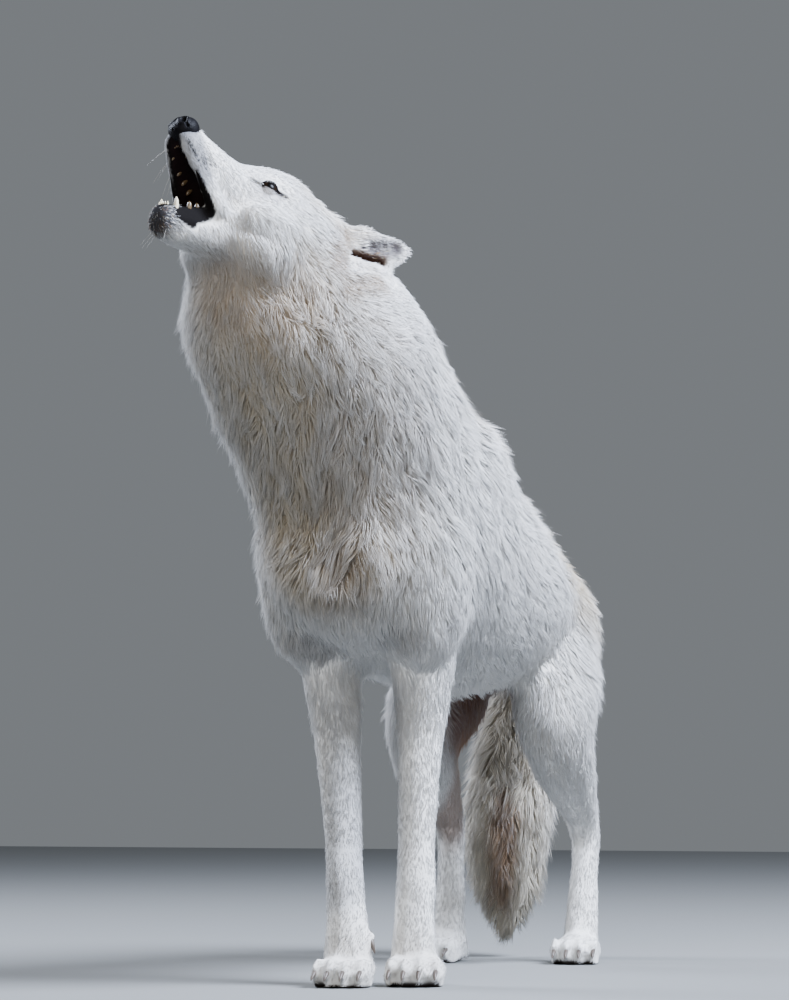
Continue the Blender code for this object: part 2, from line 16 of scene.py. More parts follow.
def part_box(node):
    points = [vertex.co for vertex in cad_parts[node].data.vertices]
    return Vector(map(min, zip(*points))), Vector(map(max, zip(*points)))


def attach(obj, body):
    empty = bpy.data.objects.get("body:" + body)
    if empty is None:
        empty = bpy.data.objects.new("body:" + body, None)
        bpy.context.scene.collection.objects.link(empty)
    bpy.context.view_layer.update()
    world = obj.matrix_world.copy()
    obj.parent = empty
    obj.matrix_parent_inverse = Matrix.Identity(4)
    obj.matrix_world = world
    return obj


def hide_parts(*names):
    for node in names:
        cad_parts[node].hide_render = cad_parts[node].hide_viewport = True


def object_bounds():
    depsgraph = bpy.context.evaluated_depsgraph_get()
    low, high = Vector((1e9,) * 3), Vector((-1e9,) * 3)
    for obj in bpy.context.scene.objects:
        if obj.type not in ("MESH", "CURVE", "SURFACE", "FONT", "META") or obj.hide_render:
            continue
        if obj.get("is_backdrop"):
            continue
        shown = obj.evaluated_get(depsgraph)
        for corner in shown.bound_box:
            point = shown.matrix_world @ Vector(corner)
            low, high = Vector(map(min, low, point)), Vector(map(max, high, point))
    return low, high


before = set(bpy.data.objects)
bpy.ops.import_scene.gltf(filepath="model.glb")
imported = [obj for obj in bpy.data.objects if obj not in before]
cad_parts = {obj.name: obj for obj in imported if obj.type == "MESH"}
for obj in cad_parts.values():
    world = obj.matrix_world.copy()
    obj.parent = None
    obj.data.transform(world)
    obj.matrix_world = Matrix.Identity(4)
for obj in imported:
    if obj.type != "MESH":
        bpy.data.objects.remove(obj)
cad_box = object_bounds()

START = time.time()
RANDOM = np.random.default_rng(21)


def say(text):
    print(f"{time.time() - START:6.1f} s  {text}", flush=True)


say("frame: " + ", ".join(sorted(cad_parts)))


# %% [markdown]
# The camera and the light come first, because every later choice is judged through them. The
# animal is seen from low down and from its left front. A camera could stand close with a wide
# lens, but that swells what is near, so it stands five metres away with a long one.
# %% Camera
MOVED = Vector((0.02002, -0.24502, 0))  # from the place where the fore feet stand to the middle of the box
CAMERA_SIDE = math.radians(20)
CAMERA_AWAY = 5.0
CAMERA_HEIGHT = 0.28
FOCAL_LENGTH = 135.9
SENSOR = 36.0
CAMERA_YAW = math.radians(0.387)
CAMERA_PITCH = math.radians(4.115)


def add_camera():
    camera = bpy.data.objects.new("camera", bpy.data.cameras.new("camera"))
    bpy.context.scene.collection.objects.link(camera)
    camera.data.lens = FOCAL_LENGTH
    camera.data.sensor_width = SENSOR
    place = Vector((math.sin(CAMERA_SIDE), -math.cos(CAMERA_SIDE), 0)) * CAMERA_AWAY
    camera.location = place + Vector((0, 0, CAMERA_HEIGHT)) + MOVED
    camera.rotation_euler = (math.pi / 2 + CAMERA_PITCH, 0, CAMERA_SIDE - CAMERA_YAW)
    bpy.context.scene.camera = camera
    return camera


camera = add_camera()
say(f"camera at {tuple(round(x, 3) for x in camera.location)}")


# %% [markdown]
# A material is a small graph of nodes. Each node could be added and linked with many lines, or a
# function could be written for each kind. One function for all of them is shorter to read: its
# words give the node's settings, its values and its links. Blender computes with linear colours,
# while a colour given here is an sRGB hex code, so a second function turns one to the other.
# %% Helpers for materials
def linear(code):
    """An sRGB hex colour as linear red, green and blue."""
    values = [int(code[i : i + 2], 16) / 255 for i in (1, 3, 5)]
    return [v / 12.92 if v <= 0.04045 else ((v + 0.055) / 1.055) ** 2.4 for v in values]


def node(tree, kind, settings=None, **links):
    """Adds a node, sets its settings and values, and links its inputs from other sockets."""
    made = tree.nodes.new(kind)
    for name, value in (settings or {}).items():
        setattr(made, name, value)
    for name, value in links.items():
        socket = made.inputs[int(name[1:]) if name[0] == "_" else name.replace("_", " ")]
        if isinstance(value, bpy.types.NodeSocket):
            tree.links.new(value, socket)
        else:
            socket.default_value = value
    return made


def new_material(name, **values):
    """A Principled material with constant values on the shader's own sockets."""
    made = bpy.data.materials.new(name)
    made.use_nodes = True
    shader = made.node_tree.nodes["Principled BSDF"]
    for socket, value in values.items():
        shader.inputs[socket.replace("_", " ")].default_value = value
    return made, made.node_tree, shader


say(f"hex #808080 is {linear('#808080')[0]:.3f} in linear light")


# %% [markdown]
# The room is a wide floor of matt pale paper. White fur needs light that models it without
# burning out: one large disk high on the animal's left, a weak warm one in front, and a third
# behind for the edge of the coat. Small hard lamps would draw every tuft as a black line.
# %% Room and lamps
AIM_HEIGHT = 0.6  # the lamps look at the middle of the body
LAMPS = [
    # name, place, diameter, power, colour
    ("sky_lamp", (3.0, -0.4, 3.6), 2.4, 1080, "#dde8ff"),
    ("front_lamp", (0.6, -4.6, 2.2), 2.6, 85, "#fff8ee"),
    ("rim_lamp", (-3.4, 0.6, 3.0), 1.8, 300, "#e2ebff"),
]


def pale_floor():
    material, _, shader = new_material("matt_pale_paper", Roughness=0.9)
    shader.inputs["Base Color"].default_value = (*linear("#7b7c7a"), 1)
    bpy.ops.object.select_all(action="DESELECT")
    bpy.ops.mesh.primitive_plane_add(size=16, location=(0, 0, 0))
    floor = bpy.context.object
    floor.name = "floor"
    floor.data.materials.append(material)
    floor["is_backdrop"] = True


def add_lamp(name, place, size, power, colour):
    lamp = bpy.data.objects.new(name, bpy.data.lights.new(name, "AREA"))
    lamp.data.shape = "DISK"
    lamp.data.size = size
    lamp.data.energy = power
    lamp.data.color = linear(colour)
    lamp.location = place
    lamp.rotation_euler = (Vector((0, 0, AIM_HEIGHT)) - Vector(place)).to_track_quat("-Z", "Y").to_euler()
    bpy.context.scene.collection.objects.link(lamp)


def add_room():
    pale_floor()
    world = bpy.data.worlds.new("soft_grey")
    world.use_nodes = True
    background = world.node_tree.nodes["Background"]
    background.inputs["Color"].default_value = (*linear("#7c8084"), 1)
    background.inputs["Strength"].default_value = 0.95
    bpy.context.scene.world = world
    for lamp in LAMPS:
        add_lamp(*lamp)


add_room()
say(f"the room and {len(LAMPS)} lamps are in")


# %% [markdown]
# The head is raised and turned, so its own axes make everything on it simple: left, up towards
# the crown, and forward to the nose. They start from the two eyes. The lower jaw has the same
# axes, swung down by the gape of the howl.
# %% The head's axes
HEAD_PITCH = math.radians(54)
HEAD_TURN = math.radians(25)
GAPE = math.radians(51)
EYES_UP, EYES_FORWARD = -0.0055, 0.0543
MOUTH_HINGE = (0, -0.088, 0.080)


class Axes:
    """A place with its own left, up and forward directions."""

    def __init__(self, origin, left, up, forward):
        self.origin = Vector(origin)
        self.frame = np.array([left, up, forward], float)

    def direction(self, left, up, forward):
        return Vector(np.array([left, up, forward]) @ self.frame)

    def at(self, left, up, forward):
        return self.origin + self.direction(left, up, forward)

    def local(self, points):
        """Rows of (left, up, forward) for points in the world."""
        return (np.asarray(points) - np.array(self.origin)) @ self.frame.T


def middle(name):
    low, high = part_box(name)
    return (low + high) / 2


def head_axes():
    level = math.cos(HEAD_PITCH)
    forward = Vector((-level * math.sin(HEAD_TURN), -level * math.cos(HEAD_TURN), math.sin(HEAD_PITCH)))
    left = Vector((math.cos(HEAD_TURN), -math.sin(HEAD_TURN), 0))
    up = forward.cross(left)
    between_eyes = (middle("eye_left") + middle("eye_right")) / 2
    return Axes(between_eyes - up * EYES_UP - forward * EYES_FORWARD, left, up, forward)


HEAD = head_axes()
swing = Matrix.Rotation(GAPE, 3, Vector(HEAD.frame[0]))
swung = [swing @ Vector(way) for way in HEAD.frame[1:]]
JAW = Axes(HEAD.at(*MOUTH_HINGE), HEAD.frame[0], *swung)
say(f"head axes at {tuple(round(x, 4) for x in HEAD.origin)}")


# %% [markdown]
# A coat isn't the same anywhere: it is 2 mm deep on the muzzle and 30 mm on the neck. One table
# says, for named places on the animal, which way the hair lies there, how deep the coat is, how
# long and wide a tuft is, and how many stand on a square centimetre. Every point of the skin
# reads a blend of the rows that are nearest to it, so the coat changes with no seam.
# %% The lie of the coat
FACE_COAT = [
    # name, (left, up, forward), lay (left, up, forward), depth mm, length mm, width mm, tufts per cm2
    ("nose_end", (0.0, -0.040, 0.165), (0.0, 0.30, -1.0), 1.5, 4.0, 0.9, 30),
    ("muzzle", (0.026, -0.062, 0.140), (0.15, -0.10, -1.0), 2.0, 6.0, 1.0, 28),
    ("muzzle_back", (0.036, -0.050, 0.095), (0.20, -0.10, -1.0), 3.2, 11.0, 1.1, 22),
    ("bridge", (0.0, -0.008, 0.105), (0.0, 0.30, -1.0), 2.2, 8.0, 1.0, 24),
    ("eye", (0.046, 0.000, 0.055), (0.45, 0.25, -0.90), 1.8, 6.5, 0.9, 28),
    ("brow", (0.022, 0.040, 0.045), (0.25, 0.50, -0.85), 4.0, 15.0, 1.2, 20),
    ("crown", (0.0, 0.088, -0.030), (0.0, 0.05, -1.0), 9.0, 28.0, 1.5, 14),
    ("temple", (0.075, 0.040, -0.010), (0.40, 0.10, -0.95), 8.0, 25.0, 1.4, 15),
    ("cheek", (0.070, -0.040, 0.025), (0.35, -0.30, -0.90), 9.0, 26.0, 1.4, 15),
    ("mouth_corner", (0.045, -0.095, 0.060), (0.30, -0.35, -0.90), 4.0, 12.0, 1.1, 20),
    ("jowl", (0.088, -0.045, -0.060), (0.35, -0.50, -0.85), 18.0, 38.0, 1.6, 14),
    ("chin", (0.0, -0.150, 0.115), (0.0, 0.50, -0.85), 2.0, 6.0, 0.9, 26),
    ("jaw_side", (0.030, -0.135, 0.080), (0.25, 0.20, -0.95), 3.2, 10.0, 1.1, 22),
    ("throat", (0.0, -0.150, 0.020), (0.0, -0.20, -1.0), 15.0, 32.0, 1.5, 15),
    ("ear_front", (0.075, 0.050, -0.050), (0.45, 0.65, -0.60), 4.0, 12.0, 1.2, 18),
    ("ear_slit", (0.074, 0.052, -0.082), (0.50, 0.74, -0.45), 2.0, 5.0, 1.1, 16),
    ("ear_slit_end", (0.096, 0.074, -0.108), (0.50, 0.74, -0.45), 2.0, 6.0, 1.1, 16),
    ("ear_root", (0.058, 0.068, -0.085), (0.50, 0.45, -0.75), 5.0, 18.0, 1.2, 17),
    ("ear", (0.080, 0.105, -0.118), (0.52, 0.66, -0.54), 2.4, 9.0, 1.1, 24),
]
BODY_COAT = [
    # name, (x, y, z), lay (x, y, z), depth mm, length mm, width mm, tufts per cm2;
    # x is counted from the spine to the animal's left
    ("neck_high", (0.0, -0.400, 0.885), (0.0, 0.30, -1.0), 23, 44, 1.6, 14),
    ("neck_side", (0.150, -0.320, 0.800), (0.05, 0.35, -1.0), 25, 48, 1.7, 13),
    ("neck_front", (0.0, -0.440, 0.740), (0.0, 0.12, -1.0), 26, 46, 1.6, 14),
    ("nape", (0.0, -0.190, 0.910), (0.0, 0.60, -0.80), 20, 48, 1.8, 11),
    ("breast", (0.0, -0.400, 0.610), (0.0, 0.15, -1.0), 23, 46, 1.7, 12),
    ("brisket", (0.0, -0.270, 0.460), (0.0, 0.50, -0.85), 14, 38, 2.0, 9),
    ("withers", (0.0, -0.170, 0.800), (0.0, 0.85, -0.55), 15, 46, 1.8, 10),
    ("shoulder", (0.120, -0.220, 0.620), (0.05, 0.45, -0.90), 14, 46, 2.1, 8),
    ("back", (0.0, 0.080, 0.730), (0.0, 1.0, -0.35), 16, 52, 2.2, 7.5),
    ("flank", (0.140, 0.060, 0.580), (0.0, 0.80, -0.55), 13, 44, 2.1, 7.5),
    ("belly", (0.0, 0.040, 0.420), (0.0, 0.90, -0.30), 15, 40, 2.1, 7.5),
    ("groin", (0.050, 0.250, 0.410), (0.0, 0.50, -0.80), 8, 26, 1.8, 8),
    ("croup", (0.0, 0.330, 0.610), (0.0, 0.90, -0.50), 16, 48, 2.1, 8),
    ("haunch", (0.110, 0.320, 0.480), (0.0, 0.45, -0.90), 12, 38, 2.0, 8),
    ("breeches", (0.090, 0.440, 0.420), (0.0, 0.25, -1.0), 16, 44, 2.0, 8.5),
    ("upper_arm", (0.080, -0.350, 0.520), (0.0, 0.20, -1.0), 11, 34, 1.8, 10),
    ("elbow", (0.065, -0.270, 0.420), (0.0, 0.15, -1.0), 4, 20, 1.4, 11),
    ("forearm", (0.060, -0.220, 0.290), (0.0, 0.05, -1.0), 2.6, 13, 1.1, 13),
    ("wrist", (0.045, -0.235, 0.150), (0.0, 0.0, -1.0), 2.2, 10, 1.0, 14),
    ("fore_toes", (0.050, -0.290, 0.030), (0.0, -0.80, -0.60), 2, 7, 1.2, 14),
    ("knee", (0.110, 0.230, 0.350), (0.0, 0.30, -0.95), 8, 28, 1.8, 9),
    ("shank", (0.105, 0.350, 0.270), (0.0, 0.55, -0.85), 3.5, 18, 1.4, 10.5),
    ("hock", (0.105, 0.445, 0.190), (0.0, 0.0, -1.0), 2.4, 12, 1.1, 13),
    ("hind_pastern", (0.100, 0.410, 0.100), (0.0, -0.20, -1.0), 2.2, 10, 1.0, 13),
    ("hind_toes", (0.100, 0.330, 0.030), (0.0, -0.80, -0.60), 2, 7, 1.2, 14),
]
TAIL_COAT = [
    ("tail_root", (0.018, 0.495, 0.520), (0.0, 0.60, -0.80), 18, 46, 2.0, 9),
    ("tail_upper", (-0.005, 0.550, 0.430), (-0.1, 0.15, -1.0), 22, 52, 2.0, 10),
    ("tail_middle", (-0.025, 0.555, 0.300), (-0.05, 0.0, -1.0), 25, 54, 1.9, 11),
    ("tail_low", (-0.042, 0.545, 0.170), (0.0, -0.05, -1.0), 25, 50, 1.9, 11),
    ("tail_tip", (-0.043, 0.538, 0.080), (0.0, -0.05, -1.0), 19, 38, 1.8, 13),
]
BLEND_REACH = 0.018  # a row counts fully within this distance
SPINE_X = 0.0200


def mirrored(place, side):
    """The same place on the left (1) or the right (-1)."""
    return (side * place[0], *place[1:])


def coat_rows():
    """Every row of the tables, mirrored to both sides, with its place and lay in the world."""
    rows = []
    for name, place, lay, *sizes in FACE_COAT:
        for side in (1, -1) if place[0] else (1,):
            spot = HEAD.at(*mirrored(place, side))
            rows.append((name, spot, HEAD.direction(*mirrored(lay, side)), *sizes))
    for name, place, lay, *sizes in BODY_COAT:
        for side in (1, -1) if place[0] else (1,):
            spot = Vector((SPINE_X + side * place[0], *place[1:]))
            rows.append((name, spot, Vector(mirrored(lay, side)), *sizes))
    for name, place, lay, *sizes in TAIL_COAT:
        rows.append((name, Vector(place), Vector(lay), *sizes))
    return rows


ROWS = coat_rows()
ROW_NAMES = [row[0] for row in ROWS]
ROW_PLACES = np.array([row[1] for row in ROWS])
ROW_LAYS = np.array([row[2].normalized() for row in ROWS])
ROW_SIZES = np.array([row[3:] for row in ROWS], float) * (0.001, 0.001, 0.001, 1e4)


def coat_at(points):
    """(lay, sizes, nearest row) of the coat at each point; sizes are depth, length, width, density."""
    lays, sizes, nearest = [], [], []
    for part in np.array_split(points, max(1, len(points) // 20000)):
        away = ((part[:, None, :] - ROW_PLACES[None]) ** 2).sum(2)
        weight = 1 / (away + BLEND_REACH**2) ** 2
        nearest.append(weight.argmax(1))
        weight /= weight.sum(1, keepdims=True)
        lays.append(weight @ ROW_LAYS)
        sizes.append(weight @ ROW_SIZES)
    return np.vstack(lays), np.vstack(sizes), np.concatenate(nearest)


say(f"{len(ROWS)} places say how the coat lies")


# %% [markdown]
# The skin is one mesh. It could be sculpted anew, but then it would drift from the solids. So
# copies of the solids of flesh are joined, pushed out by half a millimetre so that the thin cuts
# between them close, and then a voxel Remesh makes one even surface of them.
# %% One skin from the solids of flesh
NOT_SKIN = ("nose", "tongue", "eye_left", "eye_right")
FLESH = [name for name in sorted(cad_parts) if name not in NOT_SKIN]
SKIN_VOXEL = 0.0032
SKIN_RATIO = 0.24
CLOSE_CUTS = 0.0006


def select_only(obj):
    bpy.ops.object.select_all(action="DESELECT")
    obj.select_set(True)
    bpy.context.view_layer.objects.active = obj


def modify(obj, kind, **settings):
    """Adds a modifier and applies it at once."""
    select_only(obj)
    modifier = obj.modifiers.new(kind, kind)
    for name, value in settings.items():
        setattr(modifier, name, value)
    bpy.ops.object.modifier_apply(modifier=modifier.name)


def merge_doubles(obj):
    """A copy of a solid is loose triangles; this joins their corners."""
    select_only(obj)
    bpy.ops.object.mode_set(mode="EDIT")
    bpy.ops.mesh.select_all(action="SELECT")
    bpy.ops.mesh.remove_doubles(threshold=0.00001)
    bpy.ops.object.mode_set(mode="OBJECT")


def joined_flesh():
    copies = []
    for name in [*FLESH, "eye_left", "eye_right"]:
        copy = bpy.data.objects.new("skin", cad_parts[name].data.copy())
        bpy.context.scene.collection.objects.link(copy)
        copies.append(copy)
    bpy.ops.object.select_all(action="DESELECT")
    for copy in copies:
        copy.select_set(True)
    bpy.context.view_layer.objects.active = copies[0]
    bpy.ops.object.join()
    skin = bpy.context.object
    skin.name = "skin"
    skin.data.materials.clear()
    merge_doubles(skin)
    return skin


def coordinates(mesh, kind="vertices", field="co"):
    items = getattr(mesh, kind)
    flat = np.empty(len(items) * 3, np.float32)
    items.foreach_get(field, flat)
    return flat.reshape(-1, 3).astype(float)


def normals_of(mesh):
    return coordinates(mesh, "vertex_normals", "vector")


def move_vertices(mesh, points):
    mesh.vertices.foreach_set("co", points.astype(np.float32).ravel())
    mesh.update()


def weigh(obj, name, weights):
    """A vertex group with one weight for each vertex, in steps of a hundredth."""
    group = obj.vertex_groups.new(name=name)
    steps = np.round(np.clip(weights, 0, 1) * 100).astype(int)
    for step in np.unique(steps):
        if step:
            group.add(np.flatnonzero(steps == step).tolist(), step / 100, "REPLACE")


def ramp(value, start, end):
    """0 at start, 1 at end, and eased between."""
    t = np.clip((np.asarray(value, float) - start) / (end - start), 0, 1)
    return t * t * (3 - 2 * t)


skin = joined_flesh()
modify(skin, "DISPLACE", strength=CLOSE_CUTS, mid_level=0)
modify(skin, "REMESH", mode="VOXEL", voxel_size=SKIN_VOXEL)
say(f"the skin has {len(skin.data.vertices)} vertices")


# %% [markdown]
# Fur must not grow in the mouth, and its lining is bare, painted nearly black as the shade
# inside the mouth. A painted mask would need a hand. The mouth is instead described by a row of
# ellipses from throat to lips, each between the palate and the floor of the jaw, and any point
# can ask how deep in them it lies.
# %% The mouth
MOUTH_ROWS = [
    # palate forward, palate up, jaw forward, jaw up, half width
    (0.040, -0.082, -0.040, 0.010, 0.012),
    (0.072, -0.070, -0.012, -0.010, 0.019),
    (0.108, -0.062, 0.020, -0.014, 0.0220),
    (0.143, -0.062, 0.047, -0.012, 0.0185),
    (0.166, -0.067, 0.062, -0.008, 0.0150),
    (0.205, -0.075, 0.110, 0.020, 0.0200),
]
MOUTH_STEP = 0.010


def between(rows, count):
    """Evenly spaced rows between the given ones."""
    rows = np.array(rows, float)
    spots = np.linspace(0, len(rows) - 1, count)
    return np.array([np.interp(spots, range(len(rows)), column) for column in rows.T]).T


def mouth_depth(points):
    """Under 1 inside the mouth, 1 on its walls, and more outside."""
    best = np.full(len(points), 9.0)
    left = HEAD.frame[0]
    for palate, vault, floor, trough, width in between(MOUTH_ROWS, 26):
        above, below = np.array(HEAD.at(0, vault, palate)), np.array(JAW.at(0, trough, floor))
        reach = np.linalg.norm(above - below) / 2
        upward = (above - below) / (2 * reach)
        offset = points - (above + below) / 2
        onward = np.cross(left, upward)
        best = np.minimum(
            best,
            np.sqrt(
                (offset @ left / width) ** 2
                + (offset @ upward / reach) ** 2
                + (offset @ onward / MOUTH_STEP) ** 2
            ),
        )
    return best


outside = mouth_depth(np.array([HEAD.at(0, EYES_UP, EYES_FORWARD)]))[0]
say(f"between the eyes the mouth's depth is {outside:.1f}, and under 1 would be inside it")


# %% [markdown]
# The solids have teeth and claws as small rough spikes. Here only their places are listed: the
# skin is smoothed where they stood, and fine ones come back later as pieces of their own.
# %% The teeth and the claws, as places
def turned(place, forward, left):
    """Axes at a place that look along forward."""
    forward = Vector(forward).normalized()
    left = Vector(left)
    left = (left - forward * left.dot(forward)).normalized()
    return Axes(place, left, forward.cross(left), forward)


def tooth_rows():
    """(jaw, axes, length, radius) of every tooth."""
    rows = []
    down, up = HEAD.direction(0, -1, -0.12), JAW.direction(0, 1, -0.10)
    upper, lower = HEAD.frame[0], JAW.frame[0]
    for side in (1, -1):
        spot = HEAD.at(side * 0.0130, -0.068, 0.150)
        rows.append(("upper", turned(spot, down, upper), 0.016, 0.0036))
        spot = JAW.at(side * 0.0140, -0.007, 0.049)
        rows.append(("lower", turned(spot, up, lower), 0.015, 0.0034))
        for forward in (0.127, 0.113, 0.099):
            spot = HEAD.at(side * 0.0165, -0.074, forward)
            rows.append(("cheek", turned(spot, down, upper), 0.009, 0.0040))
        for forward in (0.030, 0.017):
            spot = JAW.at(side * 0.0175, -0.003, forward)
            rows.append(("cheek", turned(spot, up, lower), 0.009, 0.0040))
        for k in range(3):
            spot = HEAD.at(side * (0.0016 + 0.0034 * k), -0.067, 0.163 - 0.0012 * k)
            rows.append(("upper", turned(spot, down, upper), 0.009, 0.0016))
            spot = JAW.at(side * (0.0015 + 0.0032 * k), -0.006, 0.0605 - 0.0012 * k)
            rows.append(("lower", turned(spot, up, lower), 0.007, 0.0015))
    return rows


FORE_HALF_WIDTH, HIND_HALF_WIDTH = 0.042, 0.039
CLAW_LENGTH, CLAW_RADIUS = 0.018, 0.0034
PAWS = {
    # where the foot stands, degrees it is turned out, half its width, side
    "forepaw_left": ((0.066, 0.006), 10, FORE_HALF_WIDTH, 1),
    "forepaw_right": ((-0.014, -0.042), -2, FORE_HALF_WIDTH, -1),
    "hindpaw_left": ((0.096, 0.630), 9, HIND_HALF_WIDTH, 1),
    "hindpaw_right": ((-0.106, 0.610), 9, HIND_HALF_WIDTH, -1),
}


def claw_rows():
    """(paw, axes, length, radius) of every claw, the dewclaws of the fore feet among them."""
    rows = []
    for name, (foot, turn, half_width, side) in PAWS.items():
        turn = math.radians(turn)
        ahead = (math.sin(side * turn), -math.cos(turn), 0)
        paw = turned(Vector((*foot, 0)) + MOVED, ahead, (1, 0, 0))
        for k in range(4):
            spread = (k - 1.5) / 1.5
            left, forward = 0.72 * spread * half_width, 0.036 - 0.014 * abs(spread)
            way = paw.direction(0.10 * left / half_width, -0.28, 0.95)
            claw = turned(paw.at(left, 0.021, forward + 0.020), way, paw.frame[0])
            rows.append((name, claw, CLAW_LENGTH, CLAW_RADIUS))
        if name.startswith("fore"):
            way = paw.direction(-side * 0.35, -0.8, 0.5)
            claw = turned(paw.at(-side * 0.027, 0.060, -0.016), way, paw.frame[0])
            rows.append((name, claw, CLAW_LENGTH, CLAW_RADIUS))
    return rows


TEETH = tooth_rows()
CLAWS = claw_rows()
say(f"{len(TEETH)} teeth and {len(CLAWS)} claws have their places")


# %% [markdown]
# The facets of the solids have to go, but one strength of smoothing would melt the face or leave
# the flanks rough. Vertex groups let each place have its own: much on the body, most in the deep
# folds that long hair bridges, and little on the face, the ears and the feet.
# %% Smooth the skin
FACE_FROM, FACE_TO = -0.01, 0.05
EAR_MIDDLE = (0.078, 0.104, -0.105)
SPIKE_REACH = 0.0055
CREASES = [
    # start, end, radius of the folds that long hair bridges: in front of the withers, and above the breast
    ((-0.10, -0.15, 0.78), (0.14, -0.15, 0.78), 0.13),
    ((-0.06, -0.42, 0.60), (0.10, -0.42, 0.60), 0.10),
    ((-0.06, -0.38, 0.50), (0.10, -0.38, 0.50), 0.09),
]


def from_segment(points, start, end):
    """Distance of each point from a straight line between two places."""
    start, end = np.array(start, float), np.array(end, float)
    way = end - start
    length = max(way @ way, 1e-12)
    share = np.clip((points - start) @ way / length, 0, 1)
    return np.linalg.norm(points - start - share[:, None] * way, axis=1)


def spike_share(points):
    """1 on the small spikes that teeth and claws left in the skin."""
    share = np.zeros(len(points))
    for _, axes, length, radius in [*TEETH, *CLAWS]:
        offset = axes.local(points)
        along = np.clip(offset[:, 2], 0.1 * length, length)
        away = np.linalg.norm(offset - np.outer(along, (0, 0, 1)), axis=1)
        share = np.maximum(share, 1 - ramp(away, radius + 0.001, radius + SPIKE_REACH))
    return share


def fine_share(points):
    """1 on the face, ears and feet, where small forms are kept."""
    face = ramp(HEAD.local(points)[:, 2], FACE_FROM, FACE_TO)
    face = face * (1 - ramp(np.abs(HEAD.local(points)[:, 0]), 0.10, 0.13))
    feet = 1 - ramp(points[:, 2], 0.09, 0.13)
    ears = np.zeros(len(points))
    for side in (1, -1):
        away = np.linalg.norm(points - np.array(HEAD.at(*mirrored(EAR_MIDDLE, side))), axis=1)
        ears = np.maximum(ears, 1 - ramp(away, 0.040, 0.065))
    return np.maximum.reduce([face, feet, ears])


points = coordinates(skin.data)
fine = fine_share(points)
weigh(skin, "body", 1 - fine)
weigh(skin, "spikes", spike_share(points))
creases = np.zeros(len(points))
for start, end, radius in CREASES:
    creases = np.maximum(creases, 1 - ramp(from_segment(points, start, end), 0.45 * radius, radius))
weigh(skin, "creases", creases)
for group, steps in (("body", 70), ("spikes", 60), ("creases", 160), ("", 6)):
    modify(skin, "SMOOTH", factor=0.5, iterations=steps, vertex_group=group)
weigh(skin, "thin", 1 - 0.85 * fine_share(coordinates(skin.data)))
modify(skin, "DECIMATE", ratio=SKIN_RATIO, vertex_group="thin", vertex_group_factor=3.0)
say(f"the smooth skin has {len(skin.data.polygons)} faces")


# %% [markdown]
# The solids reach to the tips of the coat, so the skin now sinks along its normals by the depth
# that the table of the coat gives. The mouth and the soles have no hair and stay where they are.
# %% Sink the skin by the depth of the coat
def sole_share(points, normals):
    """1 on the soles: low down, and facing the floor."""
    return (1 - ramp(points[:, 2], 0.004, 0.012)) * ramp(-normals[:, 2], 0.3, 0.7)


points = coordinates(skin.data)
normals = normals_of(skin.data)
depth = coat_at(points)[1][:, 0]
depth = depth * ramp(mouth_depth(points), 1.1, 1.6) * (1 - sole_share(points, normals))
move_vertices(skin.data, points - normals * depth[:, None])
modify(skin, "SMOOTH", factor=0.5, iterations=4)
points = coordinates(skin.data)
points[:, 2] = np.maximum(points[:, 2], 0)
move_vertices(skin.data, points)
say(f"the skin is sunk by {depth.min() * 1000:.1f} to {depth.max() * 1000:.1f} mm")


# %% [markdown]
# Eyelids are what makes an eye look at you. The skin around each eyeball gets more vertices.
# Those inside an almond shape go behind the ball, which opens the slit, and the rest are pushed
# out to lie on the ball like real lids, with a thin raised rim.
# %% Eyelids
EYE_RADIUS = 0.0115
LID_THICKNESS, RIM_HEIGHT = 0.0014, 0.0009
LID_REACH, NEAR_REACH = 0.021, 0.017
SLIT_HALF_LENGTH, SLIT_HALF_HEIGHT = 0.0112, 0.0041
INNER_CORNER, OUTER_CORNER = (0.0417, -0.0135, 0.0734), (0.0595, 0.0007, 0.0440)


def eye_axes(side):
    """Axes at the middle of an eyeball: along the slit, across it, and out of the eye."""
    slit = np.subtract(OUTER_CORNER, INNER_CORNER)
    along = HEAD.direction(side * slit[0], slit[1], slit[2]).normalized()
    gaze = HEAD.direction(side * 0.84, 0.12, 0.52)
    gaze = (gaze - along * gaze.dot(along)).normalized()
    return Axes(middle("eye_left" if side > 0 else "eye_right"), along, gaze.cross(along) * side, gaze)


EYES = {side: eye_axes(side) for side in (1, -1)}


def subdivide_near(obj, places, radius):
    """More vertices on the faces near these places."""
    select_only(obj)
    points = coordinates(obj.data)
    near = np.zeros(len(points), bool)
    for place in places:
        near |= np.linalg.norm(points - np.array(place), axis=1) < radius
    mesh = obj.data
    mesh.polygons.foreach_set("select", np.zeros(len(mesh.polygons), bool))
    mesh.edges.foreach_set("select", np.zeros(len(mesh.edges), bool))
    mesh.vertices.foreach_set("select", near)
    bpy.ops.object.mode_set(mode="EDIT")
    bpy.ops.mesh.select_mode(type="VERT")
    bpy.ops.mesh.subdivide(number_cuts=1)
    bpy.ops.mesh.select_all(action="SELECT")
    bpy.ops.mesh.quads_convert_to_tris()
    bpy.ops.object.mode_set(mode="OBJECT")


def slit_share(axes, points):
    """Over 1 inside the almond of the eye's slit, 1 on its edge, and less outside or behind."""
    offset = axes.local(points)
    across = np.abs(offset[:, 1]) / SLIT_HALF_HEIGHT
    share = 1 + (1 - (offset[:, 0] / SLIT_HALF_LENGTH) ** 2) - across
    share = np.where(np.abs(offset[:, 0]) < 1.35 * SLIT_HALF_LENGTH, share, -9.0)
    near = (np.linalg.norm(offset, axis=1) < 0.022) & (offset[:, 2] > 0)
    return np.where(near, share, -9.0)


